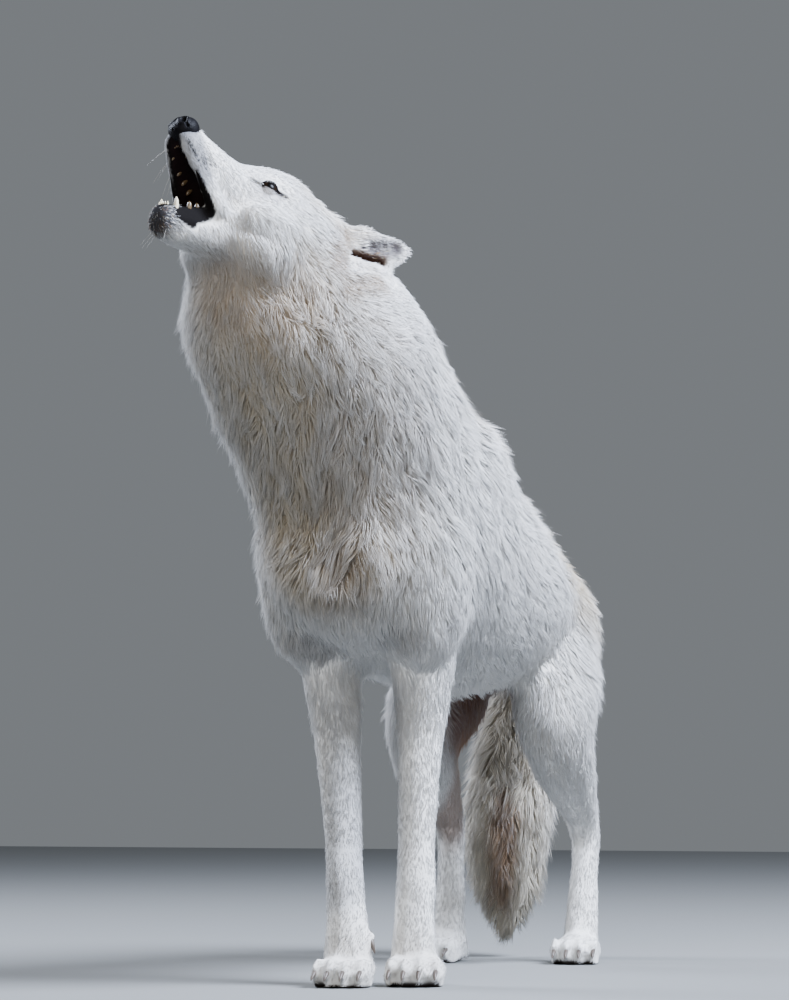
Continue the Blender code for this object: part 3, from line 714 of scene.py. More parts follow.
for radius in (LID_REACH, NEAR_REACH):
    subdivide_near(skin, [EYES[1].origin, EYES[-1].origin], radius)
points = coordinates(skin.data)
for side, axes in EYES.items():
    offset = axes.local(points)
    away = np.linalg.norm(offset, axis=1)
    ahead = offset[:, 2] > -0.004
    share = slit_share(axes, points)
    rim = np.exp(-(((share - 0.92) / 0.30) ** 2))
    lid = EYE_RADIUS + LID_THICKNESS + RIM_HEIGHT * rim
    blend = np.where(ahead, 1 - ramp(away, EYE_RADIUS + 0.001, EYE_RADIUS + 0.0075), 0)
    target = np.where(share > 1, EYE_RADIUS - 0.0035, np.maximum(away, lid))
    target = np.where(share > 1, target, away + (target - away) * np.maximum(blend, away < lid))
    moved = ahead & (away < LID_REACH)
    scale = np.where(moved, target / np.maximum(away, 1e-6), 1)[:, None]
    centre = np.array(axes.origin)
    points = np.where(moved[:, None], centre + (points - centre) * scale, points)
move_vertices(skin.data, points)
say(f"lids are in, and the skin has {len(skin.data.polygons)} faces")


# %% [markdown]
# The rest of the modelling is small presses and swells, as a thumb would make in clay: a hollow
# in front of the eye, a brow, the folds behind the gaping mouth, the wrists. Each is a line with
# a radius and a height, and pushes the skin along its normals. The ears lie back; their opening
# is a furrow along the lower edge, measured on the ear's own flat face.
# %% Small forms of the head, the body and the ears
SMALL_FORMS = [
    # name, start, end, radius, height (minus goes in), all (left, up, forward) on the head
    ("tear_hollow", (0.036, -0.016, 0.088), (0.030, -0.014, 0.104), 0.012, -0.0020),
    ("cheek_crease", (0.052, -0.070, 0.060), (0.062, -0.098, 0.030), 0.014, -0.0025),
    ("brow", (0.040, 0.018, 0.060), (0.052, 0.020, 0.040), 0.014, 0.0022),
    ("nape_hollow", (0.112, 0.070, -0.135), (0.125, 0.060, -0.165), 0.045, -0.006),
    ("crown", (0.020, 0.090, -0.040), (0.040, 0.095, -0.075), 0.040, 0.008),
    ("cheek_fold", (0.0415, -0.0828, 0.0808), (0.0800, -0.0300, 0.0260), 0.016, 0.0035),
    ("under_fold", (0.0420, -0.0980, 0.0660), (0.0860, -0.0600, 0.0150), 0.016, -0.0045),
    ("ear_crease", (0.0996, -0.0067, -0.0852), (0.1125, 0.0400, -0.1150), 0.016, -0.0080),
]
BODY_FORMS = [
    # start, end, radius, height, in the world: the breast's swell and its fold, both wrists, and
    # the hair that fills the dip behind the neck
    ((-0.05, -0.41, 0.61), (0.09, -0.41, 0.61), 0.070, 0.005),
    ((0.060, -0.432, 0.570), (0.036, -0.380, 0.470), 0.045, -0.014),
    ((0.078, -0.262, 0.152), (0.078, -0.262, 0.140), 0.032, 0.0030),
    ((-0.006, -0.288, 0.152), (-0.006, -0.288, 0.140), 0.032, 0.0030),
    ((0.070, -0.180, 0.800), (0.140, -0.150, 0.745), 0.060, 0.010),
]
EAR_FORMS = [
    # start and end (along the ear, across it), radius, depth: the slit of the opening, its
    # hollow, and the fold below
    ((0.001, 0.008), (0.043, 0.017), 0.0085, 0.014),
    ((0.030, -0.002), (0.062, -0.003), 0.0140, 0.007),
    ((0.006, 0.024), (0.052, 0.035), 0.0120, -0.007),
]


def ear_axes(side):
    """Axes of a folded ear: across it, through it and along it."""
    along = HEAD.direction(side * 0.50, 0.74, -0.45)
    return turned(HEAD.at(side * 0.050, 0.062, -0.080), along, HEAD.direction(side * 0.25, -0.75, -0.62))


def on_ear(points, side, start, end):
    """Distance of each point of the ear's open face from a line on that face; far away elsewhere."""
    offset = ear_axes(side).local(points)
    flat = np.stack([offset[:, 2], offset[:, 0], np.zeros(len(points))], axis=1)
    away = from_segment(flat, (*start, 0), (*end, 0))
    outside = -side * offset[:, 1] > -0.004
    return np.where(outside & (np.abs(offset[:, 1]) < 0.035), away, 1.0)


points = coordinates(skin.data)
normals = normals_of(skin.data)
for _, start, end, radius, height in SMALL_FORMS:
    for side in (1, -1):
        away = from_segment(HEAD.local(points), mirrored(start, side), mirrored(end, side))
        points = points + normals * (height * (1 - ramp(away, 0, radius)))[:, None]
for start, end, radius, height in BODY_FORMS:
    points = points + normals * (height * (1 - ramp(from_segment(points, start, end), 0, radius)))[:, None]
for side in (1, -1):
    inward = side * ear_axes(side).frame[1]
    for start, end, radius, depth in EAR_FORMS:
        away = on_ear(points, side, start, end)
        points = points + np.outer(depth * (1 - ramp(away, 0.1 * radius, radius)), inward)
move_vertices(skin.data, points)
say(f"forms: {len(SMALL_FORMS)} on the head, {len(BODY_FORMS)} on the body, {len(EAR_FORMS)} on each ear")


# %% [markdown]
# An arctic wolf isn't pure white. The wool under the long hair is tan and grey, and shows
# between the locks of the neck; the lips and the rims of the eyes are black; the chin is
# mottled. Some marks are painted shade: in the armpits, the groin, the inner legs, the folds of
# the breast and the ears, and the deeper tan on the front of the neck. Each mark is one row:
# where it runs from and to, how wide it is, its colour, how much of it shows, and how far it
# reaches up the hair. Skin and coat read the same rows.
# %% Marks of the coat
WHITE = "#f3f1ec"
WOOL = "#e2dcd1"


BODY_MARKS = [
    # name, start, end, radius, colour, strength, reach up the hair, in the world
    # tan wool under the long hair, deepened as painted shade on the front of the neck
    ("neck_wool_and_shade", (0.00, -0.46, 0.80), (0.02, -0.42, 0.60), 0.19, "#a2885c", 0.85, 0.36),
    ("neck_grey", (0.08, -0.42, 0.86), (0.09, -0.40, 0.66), 0.12, "#8d8580", 0.55, 0.22),
    # a parting of the hair on the breast, darkened as painted shade in the breast's fold
    ("whorl_and_fold_shade", (0.045, -0.430, 0.580), (0.050, -0.420, 0.490), 0.060, "#85725e", 0.80, 0.50),
    ("throat", (-0.07, -0.52, 0.90), (-0.02, -0.48, 0.88), 0.085, "#b29472", 0.80, 0.42),
    ("back_cream", (0.02, -0.16, 0.84), (0.04, 0.36, 0.62), 0.17, "#bd9d68", 0.85, 0.70),
    ("rump_cream", (0.10, 0.30, 0.60), (0.10, 0.44, 0.46), 0.11, "#c9ab7a", 0.60, 0.50),
    # painted shade: grey in the armpits, where the forelegs meet the chest
    ("armpit_right_shade", (-0.045, -0.315, 0.455), (-0.025, -0.300, 0.435), 0.045, "#7e7873", 0.80, 0.65),
    ("armpit_left_shade", (0.090, -0.315, 0.460), (0.075, -0.325, 0.445), 0.042, "#85807b", 0.75, 0.60),
    # the fore paws are painted a little grey-tan
    ("paw_dust", (0.086, -0.26, 0.02), (0.006, -0.31, 0.02), 0.090, "#bdb6ab", 0.60, 0.70),
    # painted shade: the dark brown under the belly and between the hind legs is mostly shadow, on a brownish
    # tint
    ("groin", (0.00, 0.27, 0.37), (0.02, 0.38, 0.33), 0.110, "#552a1d", 0.95, 0.93),
    # painted shade on the inside of the right hind leg
    ("inner_thigh_shade", (-0.06, 0.32, 0.33), (-0.07, 0.38, 0.20), 0.065, "#8c6650", 0.80, 0.80),
    ("tail_side", (-0.040, 0.52, 0.34), (-0.040, 0.52, 0.04), 0.110, "#e2cfac", 0.80, 0.75),
    ("tail_streak", (-0.030, 0.495, 0.26), (-0.040, 0.497, 0.09), 0.034, "#6a452a", 0.90, 0.82),
    ("tail_top", (0.00, 0.50, 0.45), (-0.02, 0.50, 0.33), 0.07, "#a08c72", 0.60, 0.50),
    # painted shade: blue-grey down the inner sides of the forelegs
    ("inner_foreleg_shade", (0.035, -0.235, 0.38), (0.030, -0.245, 0.14), 0.050, "#85888e", 0.75, 0.70),
    ("inner_foreleg_shade_right", (-0.010, -0.27, 0.36), (-0.006, -0.28, 0.12), 0.042, "#85888e", 0.70, 0.70),
]
HEAD_MARKS = [
    # the same, on both sides of the head
    ("crown_cream", (0.030, 0.070, 0.020), (0.045, 0.080, -0.060), 0.055, "#c4aa80", 0.60, 0.5),
    ("cheek_tan", (0.090, -0.02, -0.02), (0.10, 0.00, -0.06), 0.035, "#a08660", 0.55, 0.40),
    # tan at the front of the ear's root, deepened as painted shade where the ear meets the head
    ("ear_root_tan", (0.0650, 0.0600, -0.0430), (0.0880, 0.0150, -0.0560), 0.032, "#755a3e", 0.90, 0.80),
    # painted shade in the crease below the ear's rim
    ("ear_crease_tan", (0.0996, -0.0067, -0.0852), (0.1125, 0.0400, -0.1150), 0.028, "#7d6850", 0.90, 0.80),
]
FACE_MARKS = [
    # the same, painted over the ears' own marks
    ("under_eye", (0.050, -0.020, 0.070), (0.058, -0.010, 0.048), 0.016, "#8d8791", 0.60, 0.60),
    ("eye_line", (0.0385, -0.0165, 0.0800), (0.0615, 0.0020, 0.0400), 0.0068, "#14100e", 1.0, 1.0),
    ("nose_shade", (0.0, -0.055, 0.172), (0.010, -0.060, 0.168), 0.017, "#3c3d42", 0.90, 0.85),
    ("muzzle_grey", (0.018, -0.060, 0.168), (0.030, -0.082, 0.122), 0.026, "#565a64", 0.80, 0.85),
    ("red_spot", (0.0345, -0.123, 0.070), (0.0350, -0.121, 0.067), 0.007, "#8c5f49", 0.80, 0.85),
    ("chin", (0.004, -0.158, 0.106), (0.018, -0.140, 0.108), 0.036, "#2c2c30", 0.95, 0.95),
]
MOTTLED = ("chin", "nose_shade")


def on_both_sides(table):
    """Rows given on the left of the head, as rows in the world for the left and the right."""
    rows = []
    for name, start, end, *look in table:
        for side in (1, -1):
            rows.append((name, HEAD.at(*mirrored(start, side)), HEAD.at(*mirrored(end, side)), *look))
    return rows


def ear_marks():
    """The grey inside of each ear, deepened as painted shade in its hollow, and the brown edge of its slit,
    painted as the shade inside the opening.
    """
    rows = []
    for side in (1, -1):
        ear = ear_axes(side)
        slit, hollow = (
            [ear.at(across, -side * 0.012, along) for along, across in form[:2]] for form in EAR_FORMS[:2]
        )
        # painted shade: the ear's hollow is grey deepened as shade, and the slit dark brown as the shade in
        # the opening
        rows.append(("ear_inner_grey_and_shade", *hollow, 0.024, "#514d50", 1.00, 1.00))
        rows.append(("ear_slit", *slit, 0.0150, "#553a2a", 0.90, 0.90))
    return rows


def whisker_dots():
    """Small dark spots in rows along the upper lip, where whiskers grow."""
    rows = []
    for side in (1, -1):
        for line in range(6):
            for k in range(8):
                forward, up = 0.166 - 0.0065 * k - 0.002 * (line % 2), -0.046 - 0.0058 * line - 0.0012 * k
                spot = HEAD.at(side * (0.017 + 0.0018 * k + 0.001 * line), up, forward)
                rows.append(("dot", spot, spot, 0.0036, "#0e0e10", 1.0, 1.0))
    return rows


MARKS = BODY_MARKS + on_both_sides(HEAD_MARKS) + ear_marks() + on_both_sides(FACE_MARKS) + whisker_dots()
say(f"{len(MARKS)} marks colour the coat")


# %% [markdown]
# A mark could be a hard patch, but fur blends where two colours meet. So each mark fades from
# about a third of its radius outwards, and each point of the coat gets two colours: one near the
# skin, where wool is dark, and one at the tips.
# %% Read the marks
def colour_of(code):
    return np.array(linear(code))


def laid_on(colours, code, share):
    """The colours with this share of a new one laid over them."""
    return colours + (colour_of(code) - colours) * share[:, None]


def coat_colour(points, keep=None):
    """Colours near the skin and at the tips; keep says which points a mottled mark takes."""
    low = np.tile(linear(WOOL), (len(points), 1))
    tip = np.tile(linear(WHITE), (len(points), 1))
    for name, start, end, radius, colour, strength, reach in MARKS:
        share = strength * (1 - ramp(from_segment(points, start, end), 0.35 * radius, radius))
        if name in MOTTLED and keep is not None:
            share = np.where(keep < 0.8 * share, share, share * 0.45)
        low = laid_on(low, colour, share)
        tip = laid_on(tip, colour, share * reach)
    return low, tip


neck_front = ROW_PLACES[[ROW_NAMES.index("neck_front")]]
wool, tips = (colour[0].round(2).tolist() for colour in coat_colour(neck_front))
say(f"on the front of the neck the wool is {wool} and the tips are {tips}, in linear light")


# %% [markdown]
# Where the skin shows it is bare: lips, lids, the slit of the ear, the soles and the lining of
# the mouth. The lining and the ear's slit are painted dark as the shade inside them, and the
# ear's hollow is a grey deepened as painted shade. Elsewhere the skin only shows between tufts
# and needs their colour. One stored colour for each vertex does both, and a second number says
# where it is wet.
# %% Colour the skin
# painted shade: the mouth's lining is nearly black for the dark inside the mouth
LIP, MOUTH_SHADE, PAD = "#100e0e", "#1a1213", "#3a3432"
# painted shade: the ear's slit is dark brown for the shade in its opening, and its hollow a grey deepened as
# shade
EAR_SLIT_SHADE, EAR_GREY_AND_SHADE = "#3b2820", "#5d595b"
LIP_BANDS = [
    # start, end, radius on the head: the upper lip, its corner, and the loose lower lip
    ((0.0265, -0.0870, 0.1280), (0.0300, -0.0930, 0.1000), 0.0070),
    ((0.0310, -0.0940, 0.0980), (0.0340, -0.1000, 0.0800), 0.0095),
    ((0.0290, -0.1080, 0.0800), (0.0350, -0.1020, 0.0770), 0.0110),
    ((0.0255, -0.1220, 0.0850), (0.0290, -0.1080, 0.0800), 0.0120),
    ((0.0205, -0.1340, 0.1010), (0.0255, -0.1250, 0.0860), 0.0100),
    ((0.0225, -0.1360, 0.0990), (0.0290, -0.1290, 0.0800), 0.0090),
    ((0.0200, -0.1180, 0.1000), (0.0285, -0.1050, 0.0850), 0.0110),
]


def skin_colours():
    """(colours, wetness, bareness) for each vertex of the skin."""
    points = coordinates(skin.data)
    normals = normals_of(skin.data)
    low, tip = coat_colour(points)
    short_hair = 1 - ramp(points[:, 2], 0.34, 0.44)  # on the legs the tips lie close to the skin
    colours = low + (tip - low) * (0.5 + 0.4 * short_hair)[:, None]
    depth = mouth_depth(points)
    lips = 1 - ramp(depth, 1.14, 1.28)
    for start, end, radius in LIP_BANDS:
        for side in (1, -1):
            away = from_segment(HEAD.local(points), mirrored(start, side), mirrored(end, side))
            lips = np.maximum(lips, 1 - ramp(away, 0.7 * radius, radius))
    mouth_shade_share = 1 - ramp(depth, 0.95, 1.10)
    soles = sole_share(points, normals)
    rims = np.zeros(len(points))
    for axes in EYES.values():
        rims = np.maximum(rims, ramp(slit_share(axes, points), 0.05, 0.40))
    slit, hollow = np.zeros(len(points)), np.zeros(len(points))
    for side in (1, -1):
        slit = np.maximum(slit, 1 - ramp(on_ear(points, side, *EAR_FORMS[0][:2]), 0.004, 0.0075))
        hollow = np.maximum(hollow, 1 - ramp(on_ear(points, side, *EAR_FORMS[1][:2]), 0.006, 0.014))
    layers = [(lips, LIP), (mouth_shade_share, MOUTH_SHADE), (soles, PAD), (rims, LIP), (hollow, EAR_GREY_AND_SHADE), (slit, EAR_SLIT_SHADE)]
    for share, colour in layers:
        colours = laid_on(colours, colour, share)
    wet = np.maximum(lips, rims)
    bare = np.maximum.reduce([lips, soles, ramp(rims, 0.2, 0.5), slit])
    return colours, wet, bare


def store(mesh, name, values):
    """A colour or a number for each vertex."""
    if values.ndim == 2:
        layer = mesh.color_attributes.new(name, "FLOAT_COLOR", "POINT")
        flat = np.concatenate([values, np.ones((len(values), 1))], axis=1)
        layer.data.foreach_set("color", flat.astype(np.float32).ravel())
    else:
        layer = mesh.attributes.new(name, "FLOAT", "POINT")
        layer.data.foreach_set("value", values.astype(np.float32))


def skin_material():
    """Thin pale skin with a nap of short hair, black and wet at the lips and lids."""
    material, tree, shader = new_material("haired_skin", Specular_IOR_Level=0.015)
    colour = node(tree, "ShaderNodeAttribute", {"attribute_name": "coat"})
    wet = node(tree, "ShaderNodeAttribute", {"attribute_name": "wet"})
    place = node(tree, "ShaderNodeTexCoord")
    nap = node(tree, "ShaderNodeTexNoise", Vector=place.outputs["Object"], Scale=900.0, Detail=3.0)
    rough = node(tree, "ShaderNodeMapRange", Value=wet.outputs["Fac"], _3=0.85, _4=0.58)
    bump = node(tree, "ShaderNodeBump", Strength=0.5, Distance=0.0006, Height=nap.outputs["Fac"])
    tree.links.new(colour.outputs["Color"], shader.inputs["Base Color"])
    tree.links.new(rough.outputs["Result"], shader.inputs["Roughness"])
    tree.links.new(bump.outputs["Normal"], shader.inputs["Normal"])
    return material


select_only(skin)
bpy.ops.object.shade_smooth()
colours, wet, bare = skin_colours()
store(skin.data, "coat", colours)
store(skin.data, "wet", wet)
skin.data.materials.append(skin_material())
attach(skin, "root")
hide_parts(*FLESH)
say(f"the skin is coloured, and {100 * (bare > 0.5).mean():.1f} % of its vertices are bare")


# %% [markdown]
# So that the finished model can be baked to an image, every face needs a place on a flat map. A
# hand unwrap has fewer seams; Smart Project is quick and even, and seams don't show under fur.
# %% Unwrap the skin
def unwrap(obj):
    select_only(obj)
    obj.data.uv_layers.new(name="OFBake")
    bpy.ops.object.mode_set(mode="EDIT")
    bpy.ops.mesh.select_all(action="SELECT")
    bpy.ops.uv.smart_project(angle_limit=math.radians(66), island_margin=0.0008)
    bpy.ops.object.mode_set(mode="OBJECT")


unwrap(skin)
say(f"the skin is unwrapped on the map {skin.data.uv_layers[0].name}")


# %% [markdown]
# Now the coat. Hair particles would be the usual way, but they aren't meshes and are lost in an
# exported model, so every tuft is a small closed mesh. First each triangle of the skin takes as
# many roots as its area and the coat's density ask for, at random places on it.
# %% Where tufts stand
REGIONS = {
    "fur_face": (
        *("nose_end", "muzzle", "muzzle_back", "bridge", "eye", "brow", "mouth_corner"),
        *("chin", "jaw_side"),
    ),
    "fur_head": ("crown", "temple", "cheek", "ear_root", "ear", "ear_front", "ear_slit", "ear_slit_end"),
    "fur_ruff": ("jowl", "throat", "neck_high"),
    "fur_neck": ("neck_side", "neck_front"),
    "fur_nape": ("nape", "withers"),
    "fur_breast": ("breast", "brisket"),
    "fur_shoulders": ("shoulder", "elbow"),
    "fur_back": ("back", "croup"),
    "fur_flanks": ("flank",),
    "fur_belly": ("belly", "groin"),
    "fur_haunches": ("haunch", "knee", "breeches"),
    "fur_forelegs": ("upper_arm", "forearm", "wrist", "fore_toes"),
    "fur_hindlegs": ("shank", "hock", "hind_pastern", "hind_toes"),
    "fur_tail": ("tail_root", "tail_upper", "tail_middle", "tail_low", "tail_tip"),
}
MOST_TUFTS = 19500  # in one piece, at ten triangles each
TUFT_SHARE = 0.805


def scatter():
    """Roots of all tufts: places, normals, lay, sizes, region and place on the unwrapped skin."""
    mesh = skin.data
    mesh.calc_loop_triangles()
    corners = np.empty(len(mesh.loop_triangles) * 3, np.int32)
    loops = np.empty(len(mesh.loop_triangles) * 3, np.int32)
    mesh.loop_triangles.foreach_get("vertices", corners)
    mesh.loop_triangles.foreach_get("loops", loops)
    corners, loops = corners.reshape(-1, 3), loops.reshape(-1, 3)
    uv = np.empty(len(mesh.loops) * 2, np.float32)
    mesh.uv_layers["OFBake"].data.foreach_get("uv", uv)
    uv = uv.reshape(-1, 2)
    points = coordinates(mesh)
    normals = normals_of(mesh)
    lay, sizes, nearest = coat_at(points)
    a, b, c = (points[corners[:, k]] for k in range(3))
    area = np.linalg.norm(np.cross(b - a, c - a), axis=1) / 2
    wanted = area * sizes[corners].mean(1)[:, 3] * TUFT_SHARE
    count = np.floor(wanted + RANDOM.random(len(wanted))).astype(int)
    face = np.repeat(np.arange(len(count)), count)
    u, v = RANDOM.random(len(face)), RANDOM.random(len(face))
    flip = u + v > 1
    u, v = np.where(flip, 1 - u, u), np.where(flip, 1 - v, v)
    weight = np.stack([1 - u - v, u, v], axis=1)

    def mixed(values):
        return (values[corners[face]] * weight[:, :, None]).sum(1)

    keep = (bare[corners[face]] * weight).sum(1) < 0.5
    uv_root = (uv[loops[face]] * weight[:, :, None]).sum(1)
    result = [mixed(points), mixed(normals), mixed(lay), mixed(sizes), nearest[corners[face, 0]], uv_root]
    say(f"{area.sum():.3f} m2 of skin takes {keep.sum()} tufts")
    return [values[keep] for values in result]


def unit(rows):
    return rows / np.maximum(np.linalg.norm(rows, axis=1, keepdims=True), 1e-9)


def waves(points, size, seed):
    """A smooth random value from -1 to 1 that changes over this size."""
    source = np.random.default_rng(seed)
    total = np.zeros(len(points))
    for _ in range(6):
        way = source.normal(size=3)
        total += np.sin(points @ way / size + source.uniform(0, 2 * math.pi))
    return total / 6 * 1.6


# %% [markdown]
# A tuft rises from the skin and then lies over, so that its tip ends at the depth of the coat.
# Real hair clings together: tufts lean towards the middle of their lock, and in long hair the
# locks gather in clumps with gaps between them. A few tufts fly away from the rest. Most of
# these rules fade in with the length of the hair, from about 6 mm on the face to 30 mm and more.
# %% Shape the tufts
LOCK_EVERY = 11  # tufts in a lock
CLUMP_EVERY = 130  # tufts in a clump
FLYAWAY = 0.07  # share of tufts that stand clear
FLYING = {"length": 1.15, "depth": 1.25, "width": 0.5, "cling": 0.2}  # what is changed on those
LENGTH_SPREAD, DEPTH_SPREAD, WIDTH_SPREAD = (0.80, 1.20), (0.72, 1.06), (0.75, 1.2)
SWIRLS = ((0.20, 0.030, 3), (0.16, 0.011, 4))  # turn of the lie in radians, size of a swirl, seed
TURN_SPREAD = 0.11  # radians, from tuft to tuft
LOW_RISE, HIGH_RISE = (1.30, 0.92), (0.72, 0.8)  # how each half climbs: times the slope, at most
LOW_PART, HIGH_PART = 0.45, 0.55  # of the length, below and above the middle
CLUMP_PULL, CLUMP_DRAW = 0.42, 0.12  # of the way to the clump's tip: sideways, and along the hair
LOCK_LEAN, CLUMP_LEAN = 0.085, 0.08  # of the length
LOWEST = 0.0024  # no part of a tuft goes below the floor


def nearest_of(points, centres):
    tree = KDTree(len(centres))
    for k, place in enumerate(centres):
        tree.insert(place, k)
    tree.balance()
    return np.array([tree.find(place)[1] for place in points])


def shape_tufts():
    """Start, middle and tip of each tuft, and what its look needs."""
    root, normal, lay, sizes, row, uv = scatter()
    total = len(root)
    depth, length, width, _ = sizes.T
    normal = unit(normal)
    swirl = sum(turn * waves(root, size, seed) for turn, size, seed in SWIRLS)
    swirl = swirl * ramp(length, 0.006, 0.03) + RANDOM.normal(0, TURN_SPREAD, total)
    along = unit(lay - normal * (lay * normal).sum(1)[:, None])
    aside = np.cross(normal, along)
    along = along * np.cos(swirl)[:, None] + aside * np.sin(swirl)[:, None]
    flying = RANDOM.random(total) < FLYAWAY
    width = width * (1 - 0.22 * ramp(length, 0.012, 0.030))
    length = length * RANDOM.uniform(*LENGTH_SPREAD, total) * np.where(flying, FLYING["length"], 1)
    depth = depth * RANDOM.uniform(*DEPTH_SPREAD, total) * (1 + 0.10 * waves(root, 0.012, 5))
    depth = depth * np.where(flying, FLYING["depth"], 1)
    slope = np.clip(depth / length, 0.03, 0.75)

    def step(climb, share):
        rise = np.minimum(climb[0] * slope, climb[1])
        flat = np.sqrt(1 - rise**2)
        return (along * flat[:, None] + normal * rise[:, None]) * (length * share)[:, None]

    start = root - normal * np.minimum(0.0010, 0.2 * length)[:, None]
    mid = start + step(LOW_RISE, LOW_PART)
    tip = mid + step(HIGH_RISE, HIGH_PART)
    centres = RANDOM.choice(total, total // LOCK_EVERY, replace=False)
    lock = centres[nearest_of(root, root[centres])]
    cling = (0.10 + 0.50 * ramp(length, 0.010, 0.045)) * np.where(flying, FLYING["cling"], 1)
    cling = cling * RANDOM.uniform(0.7, 1.15, total)
    near = np.linalg.norm(root - root[lock], axis=1) < 0.35 * length
    cling = np.where(near, cling, 0)
    tip = tip + (tip[lock] - tip) * cling[:, None]
    mid = mid + (mid[lock] - mid) * (LOW_PART * cling)[:, None]
    clumps = RANDOM.choice(total, total // CLUMP_EVERY, replace=False)
    clump = clumps[nearest_of(root + 0.004 * RANDOM.normal(size=(total, 3)), root[clumps])]
    shaggy = ramp(sizes[:, 0] / sizes[:, 1], 0.27, 0.45) * ramp(length, 0.014, 0.030)
    shaggy = shaggy * (np.linalg.norm(root - root[clump], axis=1) < 0.9 * length)
    reach = tip[clump] - tip
    across = reach - along * (reach * along).sum(1)[:, None]
    tip = tip + (across * CLUMP_PULL + (reach - across) * CLUMP_DRAW) * shaggy[:, None]
    mid = mid + across * (0.15 * shaggy)[:, None]
    gap = shaggy * ramp(np.linalg.norm(across, axis=1), 0.006, 0.016)
    lean = RANDOM.normal(0, LOCK_LEAN, (total, 3))[lock]
    lean = lean + shaggy[:, None] * RANDOM.normal(0, CLUMP_LEAN, (total, 3))[clump]
    tip = tip + lean * length[:, None]
    for place in (tip, mid, start):
        place[:, 2] = np.maximum(place[:, 2], LOWEST)
    width = width * RANDOM.uniform(*WIDTH_SPREAD, total) * np.where(flying, FLYING["width"], 1)
    return start, mid, tip, normal, width, length, row, uv, lock, gap


start, mid, tip, normal, width, length, row, uv, lock, gap = shape_tufts()
typical = 1000 * np.median(length), 1000 * np.median(width)
say(f"the typical tuft is {typical[0]:.0f} mm long and {typical[1]:.1f} mm wide")


# %% [markdown]
# Hair of one colour looks like plastic. So every lock and every tuft is a little lighter or
# darker than the marks say, some tips are warmer, and tips in the gaps of the clumps take the
# dark colour of the wool as painted shade.
# %% Colour the tufts
TUFT_SHADES, LOCK_SHADES = 0.045, 0.055  # spread of lightness, from tuft to tuft and lock to lock
WARM_TIP, MOST_WARMTH = "#e4d8c2", 0.30
ROOT_SHADE = 0.94  # roots are darker by the shadow of the hair above
# painted shade: tips in the gaps between clumps are darkened towards the root's colour
GAP_SHADE = 0.45  # how much of the root's colour a tip in a gap takes
MIDDLE_SHARE = 0.42  # how much of the tip's colour the middle has


def tuft_colours(root, length, lock, gap):
    """Colours at the root, the middle and the tip of each tuft; tips in the gaps between clumps are darkened
    towards the wool as painted shade.
    """
    total = len(root)
    low, tip = coat_colour(root, RANDOM.random(total))
    own = RANDOM.normal(0, TUFT_SHADES, total) + RANDOM.normal(0, LOCK_SHADES, total)[lock]
    own = 1 + own * ramp(length, 0.006, 0.03)
    warm = RANDOM.random(total)[:, None] * (colour_of(WARM_TIP) - colour_of(WHITE)) * MOST_WARMTH
    low = low + (tip - low) * (0.6 * (1 - ramp(length, 0.012, 0.022)))[:, None]
    low = low * own[:, None] * ROOT_SHADE
    tip = (tip + warm) * own[:, None]
    # painted shade in the gaps between clumps
    tip = tip + (low - tip) * (GAP_SHADE * gap)[:, None]
    middle = low * (1 - MIDDLE_SHARE) + tip * MIDDLE_SHARE
    return np.clip(low, 0, 1), np.clip(middle, 0, 1), np.clip(tip, 0, 1)


low_colour, mid_colour, tip_colour = tuft_colours(start, length, lock, gap)
say(f"the tips' colours are {tip_colour.mean(0).round(2).tolist()} on average, in linear light")


# %% [markdown]
# Each tuft has seven corners: a roof-shaped triangle at the root, a wider one at the middle and
# a point. That is ten triangles, few enough for a coat of a hundred thousand tufts and more. Its
# normals lean towards the skin's, so that light runs softly over the coat. On the flat map
# a tuft is a patch a few thousandths across, at the place of its root.
# %% The mesh of a tuft
ROOF = np.array([(-0.5, -0.14), (0.5, -0.14), (0.0, 0.24)])
TUFT_CORNERS = 7
TUFT_FACES = np.array(
    [
        *[(0, 1, 2), (0, 4, 1), (0, 3, 4), (1, 5, 2), (1, 4, 5)],
        *[(2, 3, 0), (2, 5, 3), (3, 6, 4), (4, 6, 5), (5, 6, 3)],
    ]
)
PATCH = np.array(
    [
        *[(-0.0014, -0.0015), (0.0014, -0.0015), (0.0, -0.0011)],
        *[(-0.0010, 0.0), (0.0010, 0.0), (0.0, 0.0004), (0.0, 0.0015)],
    ]
)


def fur_material(name):
    """Guard hair: keratin, pale and slightly translucent, with a soft shine along each lock."""
    hair_values = {"Roughness": 0.62, "Specular_IOR_Level": 0.3, "Subsurface_Weight": 0.6}
    material, tree, shader = new_material(name, **hair_values)
    shader.inputs["Subsurface Radius"].default_value = (1.0, 0.95, 0.88)
    shader.inputs["Subsurface Scale"].default_value = 0.004
    colour = node(tree, "ShaderNodeAttribute", {"attribute_name": "coat"})
    place = node(tree, "ShaderNodeTexCoord")
    fine = node(tree, "ShaderNodeTexNoise", Vector=place.outputs["Object"], Scale=1400.0, Detail=2.0)
    streak = node(tree, "ShaderNodeMapRange", Value=fine.outputs["Fac"], _1=0.3, _2=0.7, _3=0.90, _4=1.04)
    hair, amount = colour.outputs["Color"], streak.outputs["Result"]
    shade = node(tree, "ShaderNodeVectorMath", {"operation": "SCALE"}, _0=hair, Scale=amount)
    tree.links.new(shade.outputs["Vector"], shader.inputs["Base Color"])
    return material


